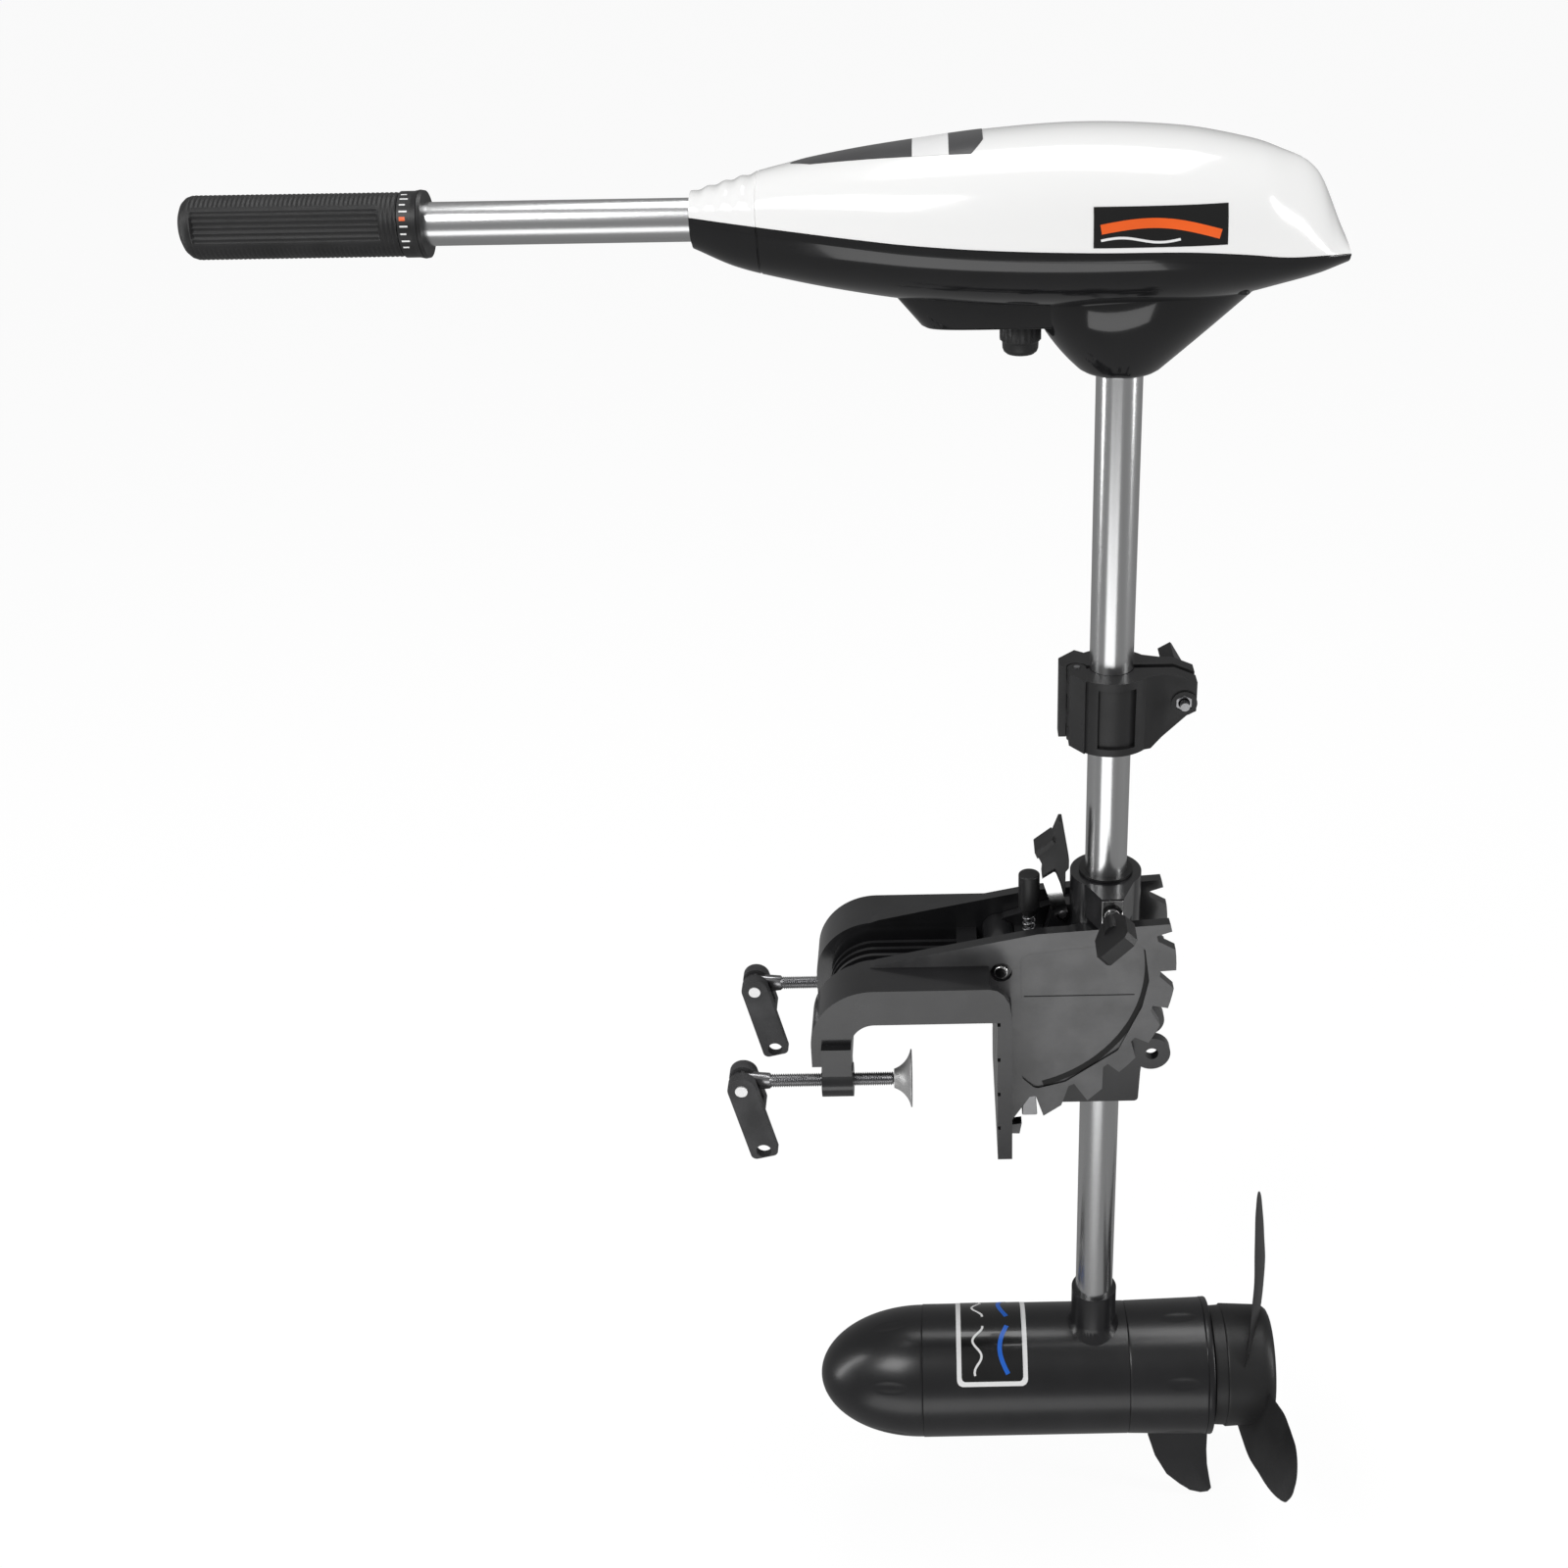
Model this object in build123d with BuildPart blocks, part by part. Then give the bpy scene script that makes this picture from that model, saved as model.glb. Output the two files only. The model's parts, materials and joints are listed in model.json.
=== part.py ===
"""Transom-mounted electric trolling motor with a telescopic tiller, in millimetres.

+X points away from the boat (towards the propeller), +Z is up, and the origin is on the
bracket's ribbed pad, on the line between the two clamp screws.
"""
import math
import os

from build123d import *

os.makedirs("parts", exist_ok=True)

# ---- driving dimensions -------------------------------------------------------------
SHAFT_X = 75.0              # shaft axis, behind the pad face
SHAFT_R = 14.0
SHAFT_WALL = 2.0
MOTOR_Z = -330.0            # motor axis
MOTOR_R = 50.0
MOTOR_WALL = 4.0
TILLER_Z = 561.5            # tiller axis
TILLER_R = 12.0
TILLER_WALL = 1.5
RUNNING = 0.05              # radial clearance of a running fit
GAP = 0.3                   # clearance between faces that only pass each other

# bracket
PIVOT_X = 3.5
PIVOT_Z = 67.0
PIN_R = 5.0
PLATE_IN = 24.0             # inner face of each quadrant plate
PLATE_T = 8.0
PLATE_OUT = PLATE_IN + PLATE_T
QUADRANT_R = 118.0
FLOOR_R = 107.3             # radius of the notch floors
NOTCH_PITCH = 15.25
FIRST_NOTCH = 14.8          # angle of the top notch's upper wall above the horizontal
NOTCHES = 7
HOOK_Y = 60.0               # half width of the hook
HOOK_TOP = 72.5
HOOK_UNDER = 45.5           # the transom's top edge rests here
LEG_OUT = -118.0
LEG_IN = -98.0
LEG_Y0 = 48.0
LEG_Y1 = 66.0
CORNER_R = 16.0
SHELF_END = -5.0            # the shelf stops short of the tilt pin, its outer lip runs on
LIP_IN = 54.0
FLANGE_X0 = 2.0
FLANGE_T = 8.0
FLANGE_BOTTOM = -70.3
PAD_BARS = 4

# clamps
CLAMP_Y = 58.0
BOSS_R = 11.5
SCREW_R = 4.75
SCREW_START = -154.0
TENSION_X = SHAFT_X + 1.7    # tension knob, below the lever on the near side
TENSION_Z = 113.0
CUP_X = -70.0
CUP_BACK = -58.0
CUP_R = 19.5
HANDLE_X = -172.6
HANDLE_HALF = 11.0          # half the handle's depth across the fork
HANDLE_LEAF = 7.0
HANDLE_W = 19.0
HANDLE_L = 58.5
HANDLE_LEAN = 13.0

# swivel block
BLOCK_Y = 23.5
CHEEK_T = 7.5
BLOCK_BOTTOM = -50.0
COLUMN_R = 20.0
COLLAR_R = 24.0
COLLAR_Z0 = 88.0
COLLAR_Z1 = 127.0
BUSH_R = 18.0
BUSH_RIM_Z = 129.0
ROD_X = 23.5                # tilt lock rod, between the quadrant plates
ROD_R = 3.0
PAWL_TOP = -43.0
PAWL_BOTTOM = -61.0
BRIDGE_TOP = 74.0
SPRING_TOP = 93.0
KNOB_TOP = 125.0
LEVER_X = 46.0
LEVER_Z = 96.6

# depth collar
RING_Z0 = 227.0
RING_Z1 = 278.0
RING_R = 27.0
RING_HINGE_X = SHAFT_X - 22.0
RING_BOLT_X = SHAFT_X + 45.5
RING_BOLT_Z = 258.0
EAR_GAP = 2.5
EAR_T = 11.0

# head: station x, height of the parting line, top, bottom and half width
HEAD_STATIONS = [
    (-169.0, 566.0, 577.0, 546.0, 16.5),
    (-145.0, 564.0, 583.5, 535.5, 24.0),
    (-112.0, 561.5, 591.5, 527.5, 34.0),
    (-79.0, 559.0, 597.5, 521.5, 43.0),
    (-46.0, 556.8, 602.0, 517.0, 51.0),
    (-3.0, 555.0, 607.0, 513.5, 58.0),
    (51.0, 553.8, 610.0, 512.0, 62.0),
    (105.0, 553.0, 607.5, 513.0, 61.0),
    (138.0, 550.0, 602.0, 518.0, 56.0),
    (161.0, 546.5, 595.5, 523.5, 49.0),
    (183.0, 545.0, 583.0, 529.0, 40.0),
    (199.5, 543.5, 550.0, 535.0, 30.0),
]
HEAD_WALL = 3.0
PARTING_GAP = 0.2           # between the shells' rims; their screw posts meet
HUB_BOTTOM = 466.0
SHAFT_TOP = 536.0
SHAFT_BOTTOM = -290.0
HEAD_POSTS = [(-55.0, 33.0), (-55.0, -33.0), (140.0, 33.0), (140.0, -33.0)]
POST_R = 5.0
POST_HOLE_R = 1.8
GLAND_X = 16.5

# tiller
TUBE_OUTER_END = -450.0
TUBE_INNER_END = -105.0
GRIP_X0 = -455.0
GRIP_X1 = -331.0
GRIP_R = 17.6
DIAL_X1 = -320.5
DIAL_R = 18.7
END_RING_X1 = -318.0
ROD_AF = 6.0                # across flats of the hexagonal control rod
ROD_INNER_END = 37.0

# motor
NOSE_TIP = -137.0
NOSE_SEAM = -57.0
TAIL_SEAM = 100.7
TAIL_END = 166.0
TAIL_END_R = 52.0
COLLAR_TOP = -245.5
MOTOR_SHAFT_R = 5.0
ARMATURE_R = 35.0
HUB_X0 = 170.0
HUB_X1 = 214.0
HUB_R = 46.5
HUB_REAR_R = 45.0
PROP_R = 135.0
BLADES = 3
BLADE_START = 35.0          # first blade tip's angle from straight up, towards +Y


# ---- shared construction ------------------------------------------------------------
def block(low, high, mode=Mode.ADD):
    """Add or cut a box between two corners."""
    size = [b - a for a, b in zip(low, high)]
    centre = [(a + b) / 2 for a, b in zip(low, high)]
    with Locations(tuple(centre)):
        Box(*size, mode=mode)


def bar(radius, start, end, mode=Mode.ADD, end_radius=None):
    """Add or cut a round bar, or a cone when end_radius is given."""
    axis = Vector(*end) - Vector(*start)
    plane = Plane(origin=start, z_dir=axis)
    if end_radius is None:
        with BuildSketch(plane) as section:
            Circle(radius)
        extrude(section.sketch, amount=axis.length, mode=mode)
    else:
        with BuildSketch(plane) as first:
            Circle(radius)
        with BuildSketch(plane.offset(axis.length)) as last:
            Circle(end_radius)
        loft([first.sketch, last.sketch], mode=mode)


def hex_bar(across_flats, start, end, mode=Mode.ADD):
    """Add or cut a hexagonal bar."""
    axis = Vector(*end) - Vector(*start)
    with BuildSketch(Plane(origin=start, z_dir=axis)) as section:
        RegularPolygon(across_flats / 2, 6, major_radius=False)
    extrude(section.sketch, amount=axis.length, mode=mode)


def slab(points, y0, y1, mode=Mode.ADD, corner=0.0):
    """Add or cut a plate with an outline in X and Z, between two Y faces."""
    with BuildSketch(Plane.XZ.offset(-y1)) as section:
        Polygon(*points, align=None)
        if corner:
            fillet(section.vertices(), corner)
    extrude(section.sketch, amount=y1 - y0, mode=mode)


def turned_x(points, centre_z, mode=Mode.ADD):
    """Add or cut a body turned about a line along X; points are (x, radius)."""
    with BuildSketch(Plane.XZ) as section:
        Polygon(*[(x, centre_z + r) for x, r in points], align=None)
    revolve(section.sketch, axis=Axis((0, 0, centre_z), (1, 0, 0)), mode=mode)


def wing_knob(x, z, y, side, degrees):
    """A wing knob on a screw along Y, growing from y towards the given side."""
    turn = math.radians(degrees)
    plane = Plane(origin=(x, y, z), z_dir=(-math.sin(turn), 0, math.cos(turn)),
                  x_dir=(math.cos(turn), 0, math.sin(turn)))
    sign = side * plane.y_dir.Y
    outline = [(-6.5, 0.0), (6.5, 0.0), (13.5, 12.0), (13.5, 31.0), (10.5, 34.5), (-10.5, 34.5),
               (-13.5, 31.0), (-13.5, 12.0)]
    with BuildSketch(plane.offset(-4.6)) as leaf:
        Polygon(*[(u, sign * v) for u, v in outline], align=None)
    extrude(leaf.sketch, amount=9.2)
    bar(7.0, (x, y, z), (x, y + side * 15.0, z))
    bar(2.9, (x, y, z), (x, y + side * 10.0, z), mode=Mode.SUBTRACT)


def polar_point(radius, degrees):
    """A point in X and Z given from the tilt pivot."""
    angle = math.radians(degrees)
    return (PIVOT_X + radius * math.cos(angle), PIVOT_Z + radius * math.sin(angle))


# ---- transom bracket ----------------------------------------------------------------
def plate_section(plane):
    """One notched quadrant plate with the web that runs forward over the hook."""
    tail = [polar_point(138.2, -84.7), polar_point(124.5, -83.0), polar_point(120.9, -82.2)]
    teeth = [polar_point(126.0, -76.7), polar_point(119.5, -67.5), polar_point(125.0, -61.4),
             polar_point(121.0, -53.0), polar_point(QUADRANT_R, -46.5)]
    arc_start = teeth[-1]
    arc_end = polar_point(QUADRANT_R, 17.8)
    with BuildSketch(plane) as section:
        with BuildLine():
            Polyline((6.0, FLANGE_BOTTOM), (9.9, FLANGE_BOTTOM), *tail, *teeth)
            ThreePointArc(arc_start, polar_point(QUADRANT_R, -15.0), arc_end)
            Polyline(arc_end, (28.0, 97.0), (-43.0, 82.5), (-80.0, 74.5))
            ThreePointArc((-80.0, 74.5), (-106.0, 56.0), (-116.5, 26.0))
            Polyline((-116.5, 26.0), (-116.5, 12.0), (LEG_IN, 12.0), (LEG_IN, HOOK_UNDER - CORNER_R))
            RadiusArc((LEG_IN, HOOK_UNDER - CORNER_R), (LEG_IN + CORNER_R, HOOK_UNDER), CORNER_R)
            Polyline((LEG_IN + CORNER_R, HOOK_UNDER), (6.0, HOOK_UNDER), (6.0, FLANGE_BOTTOM))
        make_face()
        for index in range(NOTCHES):
            wall = FIRST_NOTCH - index * NOTCH_PITCH
            Polygon(polar_point(130.0, wall + 0.4), polar_point(FLOOR_R, wall - 0.4),
                    polar_point(FLOOR_R, wall - 2.7), polar_point(130.0, wall - 11.2),
                    align=None, mode=Mode.SUBTRACT)
    return section.sketch


def hook_section(plane, thickness, back_x):
    """The C shape of the hook seen from the side, its upper arm ending at back_x."""
    outer_r = CORNER_R + thickness
    left = LEG_IN - thickness
    top = HOOK_UNDER + thickness
    with BuildSketch(plane) as section:
        with BuildLine():
            Polyline((left, 12.0), (left, top - outer_r))
            RadiusArc((left, top - outer_r), (left + outer_r, top), outer_r)
            Polyline((left + outer_r, top), (back_x, top), (back_x, HOOK_UNDER))
            Polyline((back_x, HOOK_UNDER), (LEG_IN + CORNER_R, HOOK_UNDER))
            RadiusArc((LEG_IN + CORNER_R, HOOK_UNDER), (LEG_IN, HOOK_UNDER - CORNER_R), -CORNER_R)
            Polyline((LEG_IN, HOOK_UNDER - CORNER_R), (LEG_IN, 12.0), (left, 12.0))
        make_face()
    return section.sketch


PANEL = [(16.0, 78.0), (22.0, 82.0), (92.0, 90.0), (100.0, 84.0), (103.5, 58.0), (99.6, 36.9),
         (84.0, 0.4), (48.0, -25.8), (27.4, -31.4), (18.0, -22.0)]

with BuildPart() as clamp_bracket:
    for face_y in (-PLATE_IN, PLATE_OUT):
        extrude(plate_section(Plane.XZ.offset(-face_y)), amount=PLATE_T)
    arm_t = HOOK_TOP - HOOK_UNDER
    for low_y in (PLATE_IN, -HOOK_Y):
        extrude(hook_section(Plane.XZ.offset(-low_y - HOOK_Y + PLATE_IN), arm_t, SHELF_END),
                amount=HOOK_Y - PLATE_IN)
    extrude(hook_section(Plane.XZ.offset(-PLATE_IN), 8.0, FLANGE_X0 + FLANGE_T), amount=2 * PLATE_IN)
    for rib_y in (-16.0, -8.0, 0.0, 8.0, 16.0):
        extrude(hook_section(Plane.XZ.offset(-rib_y - 1.5), 16.5, -14.0), amount=3.0)
    block((FLANGE_X0, -HOOK_Y, FLANGE_BOTTOM), (FLANGE_X0 + FLANGE_T, HOOK_Y, HOOK_UNDER))
    for side in (-1, 1):
        slab([(SHELF_END, HOOK_UNDER), (SHELF_END, HOOK_TOP), (0.0, HOOK_TOP - 1.2), (4.5, HOOK_TOP - 5.0),
              (8.0, HOOK_TOP - 12.0), (10.0, HOOK_UNDER)],
             min(side * LIP_IN, side * HOOK_Y), max(side * LIP_IN, side * HOOK_Y))
        slab([(SHELF_END - 4.0, HOOK_UNDER), (SHELF_END - 4.0, HOOK_UNDER + 8.0),
              (FLANGE_X0 + FLANGE_T, HOOK_UNDER)],
             min(side * PLATE_IN, side * HOOK_Y), max(side * PLATE_IN, side * HOOK_Y))
    bar_pitch = (HOOK_UNDER - FLANGE_BOTTOM) / PAD_BARS
    for index in range(PAD_BARS):
        bar_low = FLANGE_BOTTOM + index * bar_pitch
        block((0.0, -HOOK_Y, bar_low), (FLANGE_X0, HOOK_Y, bar_low + bar_pitch - 3.0))
    block((-26.0, -PLATE_IN, HOOK_UNDER), (-12.0, PLATE_IN, 67.5))
    for side in (-1, 1):
        slab([(LEG_OUT, 30.0), (LEG_OUT, 0.0), (LEG_IN, 0.0), (LEG_IN, 30.0)],
             min(side * LEG_Y0, side * LEG_Y1), max(side * LEG_Y0, side * LEG_Y1))
        bar(BOSS_R, (LEG_OUT - 0.6, side * CLAMP_Y, 0), (LEG_IN + 0.6, side * CLAMP_Y, 0))
        bar(SCREW_R + RUNNING, (LEG_OUT - 5, side * CLAMP_Y, 0), (LEG_IN + 5, side * CLAMP_Y, 0),
            mode=Mode.SUBTRACT)
        bar(7.4, (PIVOT_X, side * (PLATE_OUT - 2), PIVOT_Z), (PIVOT_X, side * (PLATE_OUT + 2), PIVOT_Z),
            mode=Mode.SUBTRACT)
        outer = side * PLATE_OUT
        slab(PANEL, min(outer, outer - side * 1.5), max(outer, outer - side * 1.5),
             mode=Mode.SUBTRACT, corner=5.0)
    bar(PIN_R, (PIVOT_X, -PLATE_OUT - 1, PIVOT_Z), (PIVOT_X, PLATE_OUT + 1, PIVOT_Z), mode=Mode.SUBTRACT)
clamp_bracket.part.label = "clamp_bracket"
export_step(clamp_bracket.part, "parts/clamp_bracket.step")

with BuildPart() as pivot_pin:
    bar(PIN_R, (PIVOT_X, -PLATE_OUT - 0.6, PIVOT_Z), (PIVOT_X, PLATE_OUT + 0.6, PIVOT_Z))
    fillet(pivot_pin.edges().filter_by(GeomType.CIRCLE), 1.2)
pivot_pin.part.label = "pivot_pin"
export_step(pivot_pin.part, "parts/pivot_pin.step")

# ---- clamp screws, cups and folding handles, one set each side -----------------------
lean = math.radians(HANDLE_LEAN)
handle_end = (HANDLE_X + (HANDLE_L - 5.5) * math.sin(lean), -(HANDLE_L - 5.5) * math.cos(lean))
for side_name, side in (("near", -1), ("far", 1)):
    axis_y = side * CLAMP_Y

    with BuildPart() as clamp_screw:
        bar(SCREW_R, (SCREW_START, axis_y, 0), (CUP_X - 0.4, axis_y, 0))
        bar(2.6, (CUP_X - 0.4, axis_y, 0), (CUP_X + 5.0, axis_y, 0))
        slab([(SCREW_START, -SCREW_R), (SCREW_START, SCREW_R), (HANDLE_X - 2.0, 7.0),
              (HANDLE_X - 2.0, -7.0)], axis_y - 2.5, axis_y + 2.5)
        bar(7.0, (HANDLE_X - 0.5, axis_y - 2.5, 0), (HANDLE_X - 0.5, axis_y + 2.5, 0))
        bar(2.5, (HANDLE_X, axis_y - 5, 0), (HANDLE_X, axis_y + 5, 0), mode=Mode.SUBTRACT)
    clamp_screw.part.label = f"clamp_screw_{side_name}"
    export_step(clamp_screw.part, f"parts/clamp_screw_{side_name}.step")

    with BuildPart() as clamp_cup:
        with BuildSketch(Plane.XZ.offset(-axis_y)) as profile:
            with BuildLine():
                Polyline((CUP_X, 2.65), (CUP_X, 6.5))
                ThreePointArc((CUP_X, 6.5), (CUP_X + 5.5, 9.6), (CUP_BACK - 0.8, CUP_R))
                Polyline((CUP_BACK - 0.8, CUP_R), (CUP_BACK, CUP_R), (CUP_BACK, CUP_R - 1.2))
                ThreePointArc((CUP_BACK, CUP_R - 1.2), (CUP_BACK - 3.4, 12.0), (CUP_X + 6.5, 6.0))
                Polyline((CUP_X + 6.5, 6.0), (CUP_X + 6.5, 0.0), (CUP_X + 5.4, 0.0), (CUP_X + 5.4, 2.65))
                Polyline((CUP_X + 5.4, 2.65), (CUP_X, 2.65))
            make_face()
        revolve(profile.sketch, axis=Axis((0, axis_y, 0), (1, 0, 0)))
    clamp_cup.part.label = f"clamp_cup_{side_name}"
    export_step(clamp_cup.part, f"parts/clamp_cup_{side_name}.step")

    with BuildPart() as handle_rivet:
        bar(2.5 - RUNNING, (HANDLE_X, axis_y - HANDLE_HALF, 0), (HANDLE_X, axis_y + HANDLE_HALF, 0))
        bar(4.2, (HANDLE_X, axis_y - HANDLE_HALF - 1.2, 0), (HANDLE_X, axis_y - HANDLE_HALF, 0))
        bar(4.2, (HANDLE_X, axis_y + HANDLE_HALF, 0), (HANDLE_X, axis_y + HANDLE_HALF + 1.2, 0))
    handle_rivet.part.label = f"handle_rivet_{side_name}"
    export_step(handle_rivet.part, f"parts/handle_rivet_{side_name}.step")

    with BuildPart() as clamp_handle:
        half = HANDLE_W / 2
        with BuildSketch(Plane.XZ.offset(-axis_y - HANDLE_HALF)) as outline:
            with Locations(Location((HANDLE_X, 0), HANDLE_LEAN)):
                Circle(half)
                with Locations((0, -HANDLE_L / 2)):
                    Rectangle(HANDLE_W, HANDLE_L)
        extrude(outline.sketch, amount=2 * HANDLE_HALF)
        fork_bottom = -16.0
        block((HANDLE_X - 20, axis_y - 3.0, fork_bottom), (HANDLE_X + 30, axis_y + 3.0, 30),
              mode=Mode.SUBTRACT)
        block((HANDLE_X - 30, axis_y - HANDLE_HALF + HANDLE_LEAF, -80),
              (HANDLE_X + 50, axis_y + HANDLE_HALF + 1, fork_bottom - 5.0), mode=Mode.SUBTRACT)
        bar(2.5, (HANDLE_X, axis_y - 20, 0), (HANDLE_X, axis_y + 20, 0), mode=Mode.SUBTRACT)
        bar(5.2, (handle_end[0], axis_y - 20, handle_end[1]), (handle_end[0], axis_y + 20, handle_end[1]),
            mode=Mode.SUBTRACT)
        fillet(clamp_handle.faces().sort_by(Axis.Z)[0].edges().filter_by(Axis.Y), 4.0)
    clamp_handle.part.label = f"clamp_handle_{side_name}"
    export_step(clamp_handle.part, f"parts/clamp_handle_{side_name}.step")

# ---- swivel block --------------------------------------------------------------------
CHEEK = [(-4.0, 58.5), (10.0, 57.0), (42.0, BLOCK_BOTTOM), (100.0, BLOCK_BOTTOM), (101.0, -24.0),
         (104.0, 2.0), (96.0, 60.0), (92.0, 96.0), (58.0, 96.0), (6.0, 79.5)]
EAR = (108.5, -9.5)

with BuildPart() as swivel_block:
    bar(COLUMN_R, (SHAFT_X, 0, BLOCK_BOTTOM), (SHAFT_X, 0, COLLAR_Z0))
    bar(COLLAR_R, (SHAFT_X, 0, COLLAR_Z0), (SHAFT_X, 0, COLLAR_Z1))
    with BuildSketch(Plane.XY.offset(COLLAR_Z0 + 14.0)) as prow:
        Polygon((SHAFT_X - 24.0, 0), (SHAFT_X - 5.5, -37.5), (SHAFT_X + 9.0, -37.5), (SHAFT_X + 24.0, 0),
                align=None)
    extrude(prow.sketch, amount=COLLAR_Z1 - COLLAR_Z0 - 14.0)
    for inner_y in (-BLOCK_Y, BLOCK_Y - CHEEK_T):
        slab(CHEEK, inner_y, inner_y + CHEEK_T, corner=3.0)
        bar(13.0, (EAR[0], inner_y, EAR[1]), (EAR[0], inner_y + CHEEK_T, EAR[1]))
    bar(3.6, (94.6, -BLOCK_Y, -43.0), (94.6, BLOCK_Y, -43.0))
    bar(11.5, (PIVOT_X, -BLOCK_Y, PIVOT_Z), (PIVOT_X, BLOCK_Y, PIVOT_Z))
    block((14.0, -BLOCK_Y, 62.0), (34.0, BLOCK_Y, BRIDGE_TOP))
    slab([(28.0, 64.0), (60.0, 60.0), (60.0, 86.0), (LEVER_X + 6, 103.0), (LEVER_X - 6, 103.0), (34.0, 78.0),
          (28.0, 70.0)], -5.0, 5.0)
    block((ROD_X - 6.0, -6.0, -34.0), (SHAFT_X - 14.0, 6.0, -26.0))
    bar(BUSH_R - 1.5, (SHAFT_X, 0, 99.0), (SHAFT_X, 0, COLLAR_Z1), mode=Mode.SUBTRACT)
    bar(SHAFT_R + 1.0, (SHAFT_X, 0, BLOCK_BOTTOM), (SHAFT_X, 0, COLLAR_Z1), mode=Mode.SUBTRACT)
    bar(BUSH_R - 1.5, (SHAFT_X, 0, BLOCK_BOTTOM), (SHAFT_X, 0, BLOCK_BOTTOM + 22.0), mode=Mode.SUBTRACT)
    for inner_y in (-BLOCK_Y, BLOCK_Y - CHEEK_T):
        bar(4.6, (EAR[0], inner_y - 1, EAR[1]), (EAR[0], inner_y + CHEEK_T + 1, EAR[1]), mode=Mode.SUBTRACT)
    bar(PIN_R + RUNNING, (PIVOT_X, -30, PIVOT_Z), (PIVOT_X, 30, PIVOT_Z), mode=Mode.SUBTRACT)
    bar(ROD_R + RUNNING, (ROD_X, 0, -40.0), (ROD_X, 0, 80.0), mode=Mode.SUBTRACT)
    bar(2.5, (LEVER_X, -9, LEVER_Z), (LEVER_X, 9, LEVER_Z), mode=Mode.SUBTRACT)
    bar(3.0 + RUNNING, (TENSION_X, -45, TENSION_Z), (TENSION_X, -10, TENSION_Z), mode=Mode.SUBTRACT)
    bar(5.0 + RUNNING, (TENSION_X, -25, TENSION_Z), (TENSION_X, -10, TENSION_Z), mode=Mode.SUBTRACT)
swivel_block.part.label = "swivel_block"
export_step(swivel_block.part, "parts/swivel_block.step")

with BuildPart() as bush_upper:
    bar(BUSH_R - 1.5 - RUNNING, (SHAFT_X, 0, 99.2), (SHAFT_X, 0, COLLAR_Z1 + 0.2))
    bar(BUSH_R, (SHAFT_X, 0, COLLAR_Z1 + 0.2), (SHAFT_X, 0, BUSH_RIM_Z))
    bar(SHAFT_R + RUNNING, (SHAFT_X, 0, 90), (SHAFT_X, 0, 140), mode=Mode.SUBTRACT)
bush_upper.part.label = "bush_upper"
export_step(bush_upper.part, "parts/bush_upper.step")

with BuildPart() as bush_lower:
    bar(BUSH_R - 1.5 - RUNNING, (SHAFT_X, 0, BLOCK_BOTTOM - 0.2), (SHAFT_X, 0, BLOCK_BOTTOM + 21.8))
    bar(BUSH_R, (SHAFT_X, 0, BLOCK_BOTTOM - 2.2), (SHAFT_X, 0, BLOCK_BOTTOM - 0.2))
    bar(SHAFT_R + RUNNING, (SHAFT_X, 0, -60), (SHAFT_X, 0, 0), mode=Mode.SUBTRACT)
bush_lower.part.label = "bush_lower"
export_step(bush_lower.part, "parts/bush_lower.step")

# ---- steering tension knob, its screw and friction shoe --------------------------------
with BuildPart() as tension_plate:
    block((SHAFT_X - 5.3, -38.4, TENSION_Z - 11.0), (SHAFT_X + 8.7, -37.5, TENSION_Z + 12.8))
    bar(3.0 + RUNNING, (TENSION_X, -45, TENSION_Z), (TENSION_X, -30, TENSION_Z), mode=Mode.SUBTRACT)
tension_plate.part.label = "tension_plate"
export_step(tension_plate.part, "parts/tension_plate.step")

with BuildPart() as friction_shoe:
    bar(5.0, (TENSION_X, -22.0, TENSION_Z), (TENSION_X, -17.2, TENSION_Z))
friction_shoe.part.label = "friction_shoe"
export_step(friction_shoe.part, "parts/friction_shoe.step")

with BuildPart() as tension_screw:
    bar(2.9, (TENSION_X, -53.5, TENSION_Z), (TENSION_X, -22.2, TENSION_Z))
    bar(5.2, (TENSION_X, -41.5, TENSION_Z), (TENSION_X, -39.6, TENSION_Z))
tension_screw.part.label = "tension_screw"
export_step(tension_screw.part, "parts/tension_screw.step")

with BuildPart() as tension_knob:
    wing_knob(TENSION_X, TENSION_Z, -43.6, -1, 45.0)
tension_knob.part.label = "tension_knob"
export_step(tension_knob.part, "parts/tension_knob.step")

# ---- tilt lock: thumb lever, its metal clevis and pin, and the lock bar -----------------
with BuildPart() as lever_clevis:
    clevis_outline = [(41.0, 95.0), (46.5, 90.5), (50.5, 95.0), (44.0, 121.5), (40.5, 131.0), (31.8, 125.0)]
    for inner_y in (-7.5, 5.5):
        slab(clevis_outline, inner_y, inner_y + 2.0, corner=1.5)
    slab([(33.5, 120.5), (42.0, 124.5), (40.5, 131.0), (31.8, 125.0)], -7.5, 7.5, corner=1.0)
    bar(2.5 + RUNNING, (LEVER_X, -9, LEVER_Z), (LEVER_X, 9, LEVER_Z), mode=Mode.SUBTRACT)
lever_clevis.part.label = "lever_clevis"
export_step(lever_clevis.part, "parts/lever_clevis.step")

with BuildPart() as thumb_lever:
    slab([(31.8, 125.0), (40.5, 131.0), (46.0, 109.0), (47.8, 110.0), (47.8, 128.5), (50.0, 131.5),
          (50.0, 138.0), (45.0, 168.0), (42.8, 168.0), (38.5, 156.0), (26.5, 146.5), (32.5, 133.5)], -5.2, 5.2)
    slab([(26.5, 146.5), (38.5, 156.0), (40.5, 152.5), (28.5, 141.5)], -9.0, 9.0)
thumb_lever.part.label = "thumb_lever"
export_step(thumb_lever.part, "parts/thumb_lever.step")

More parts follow.
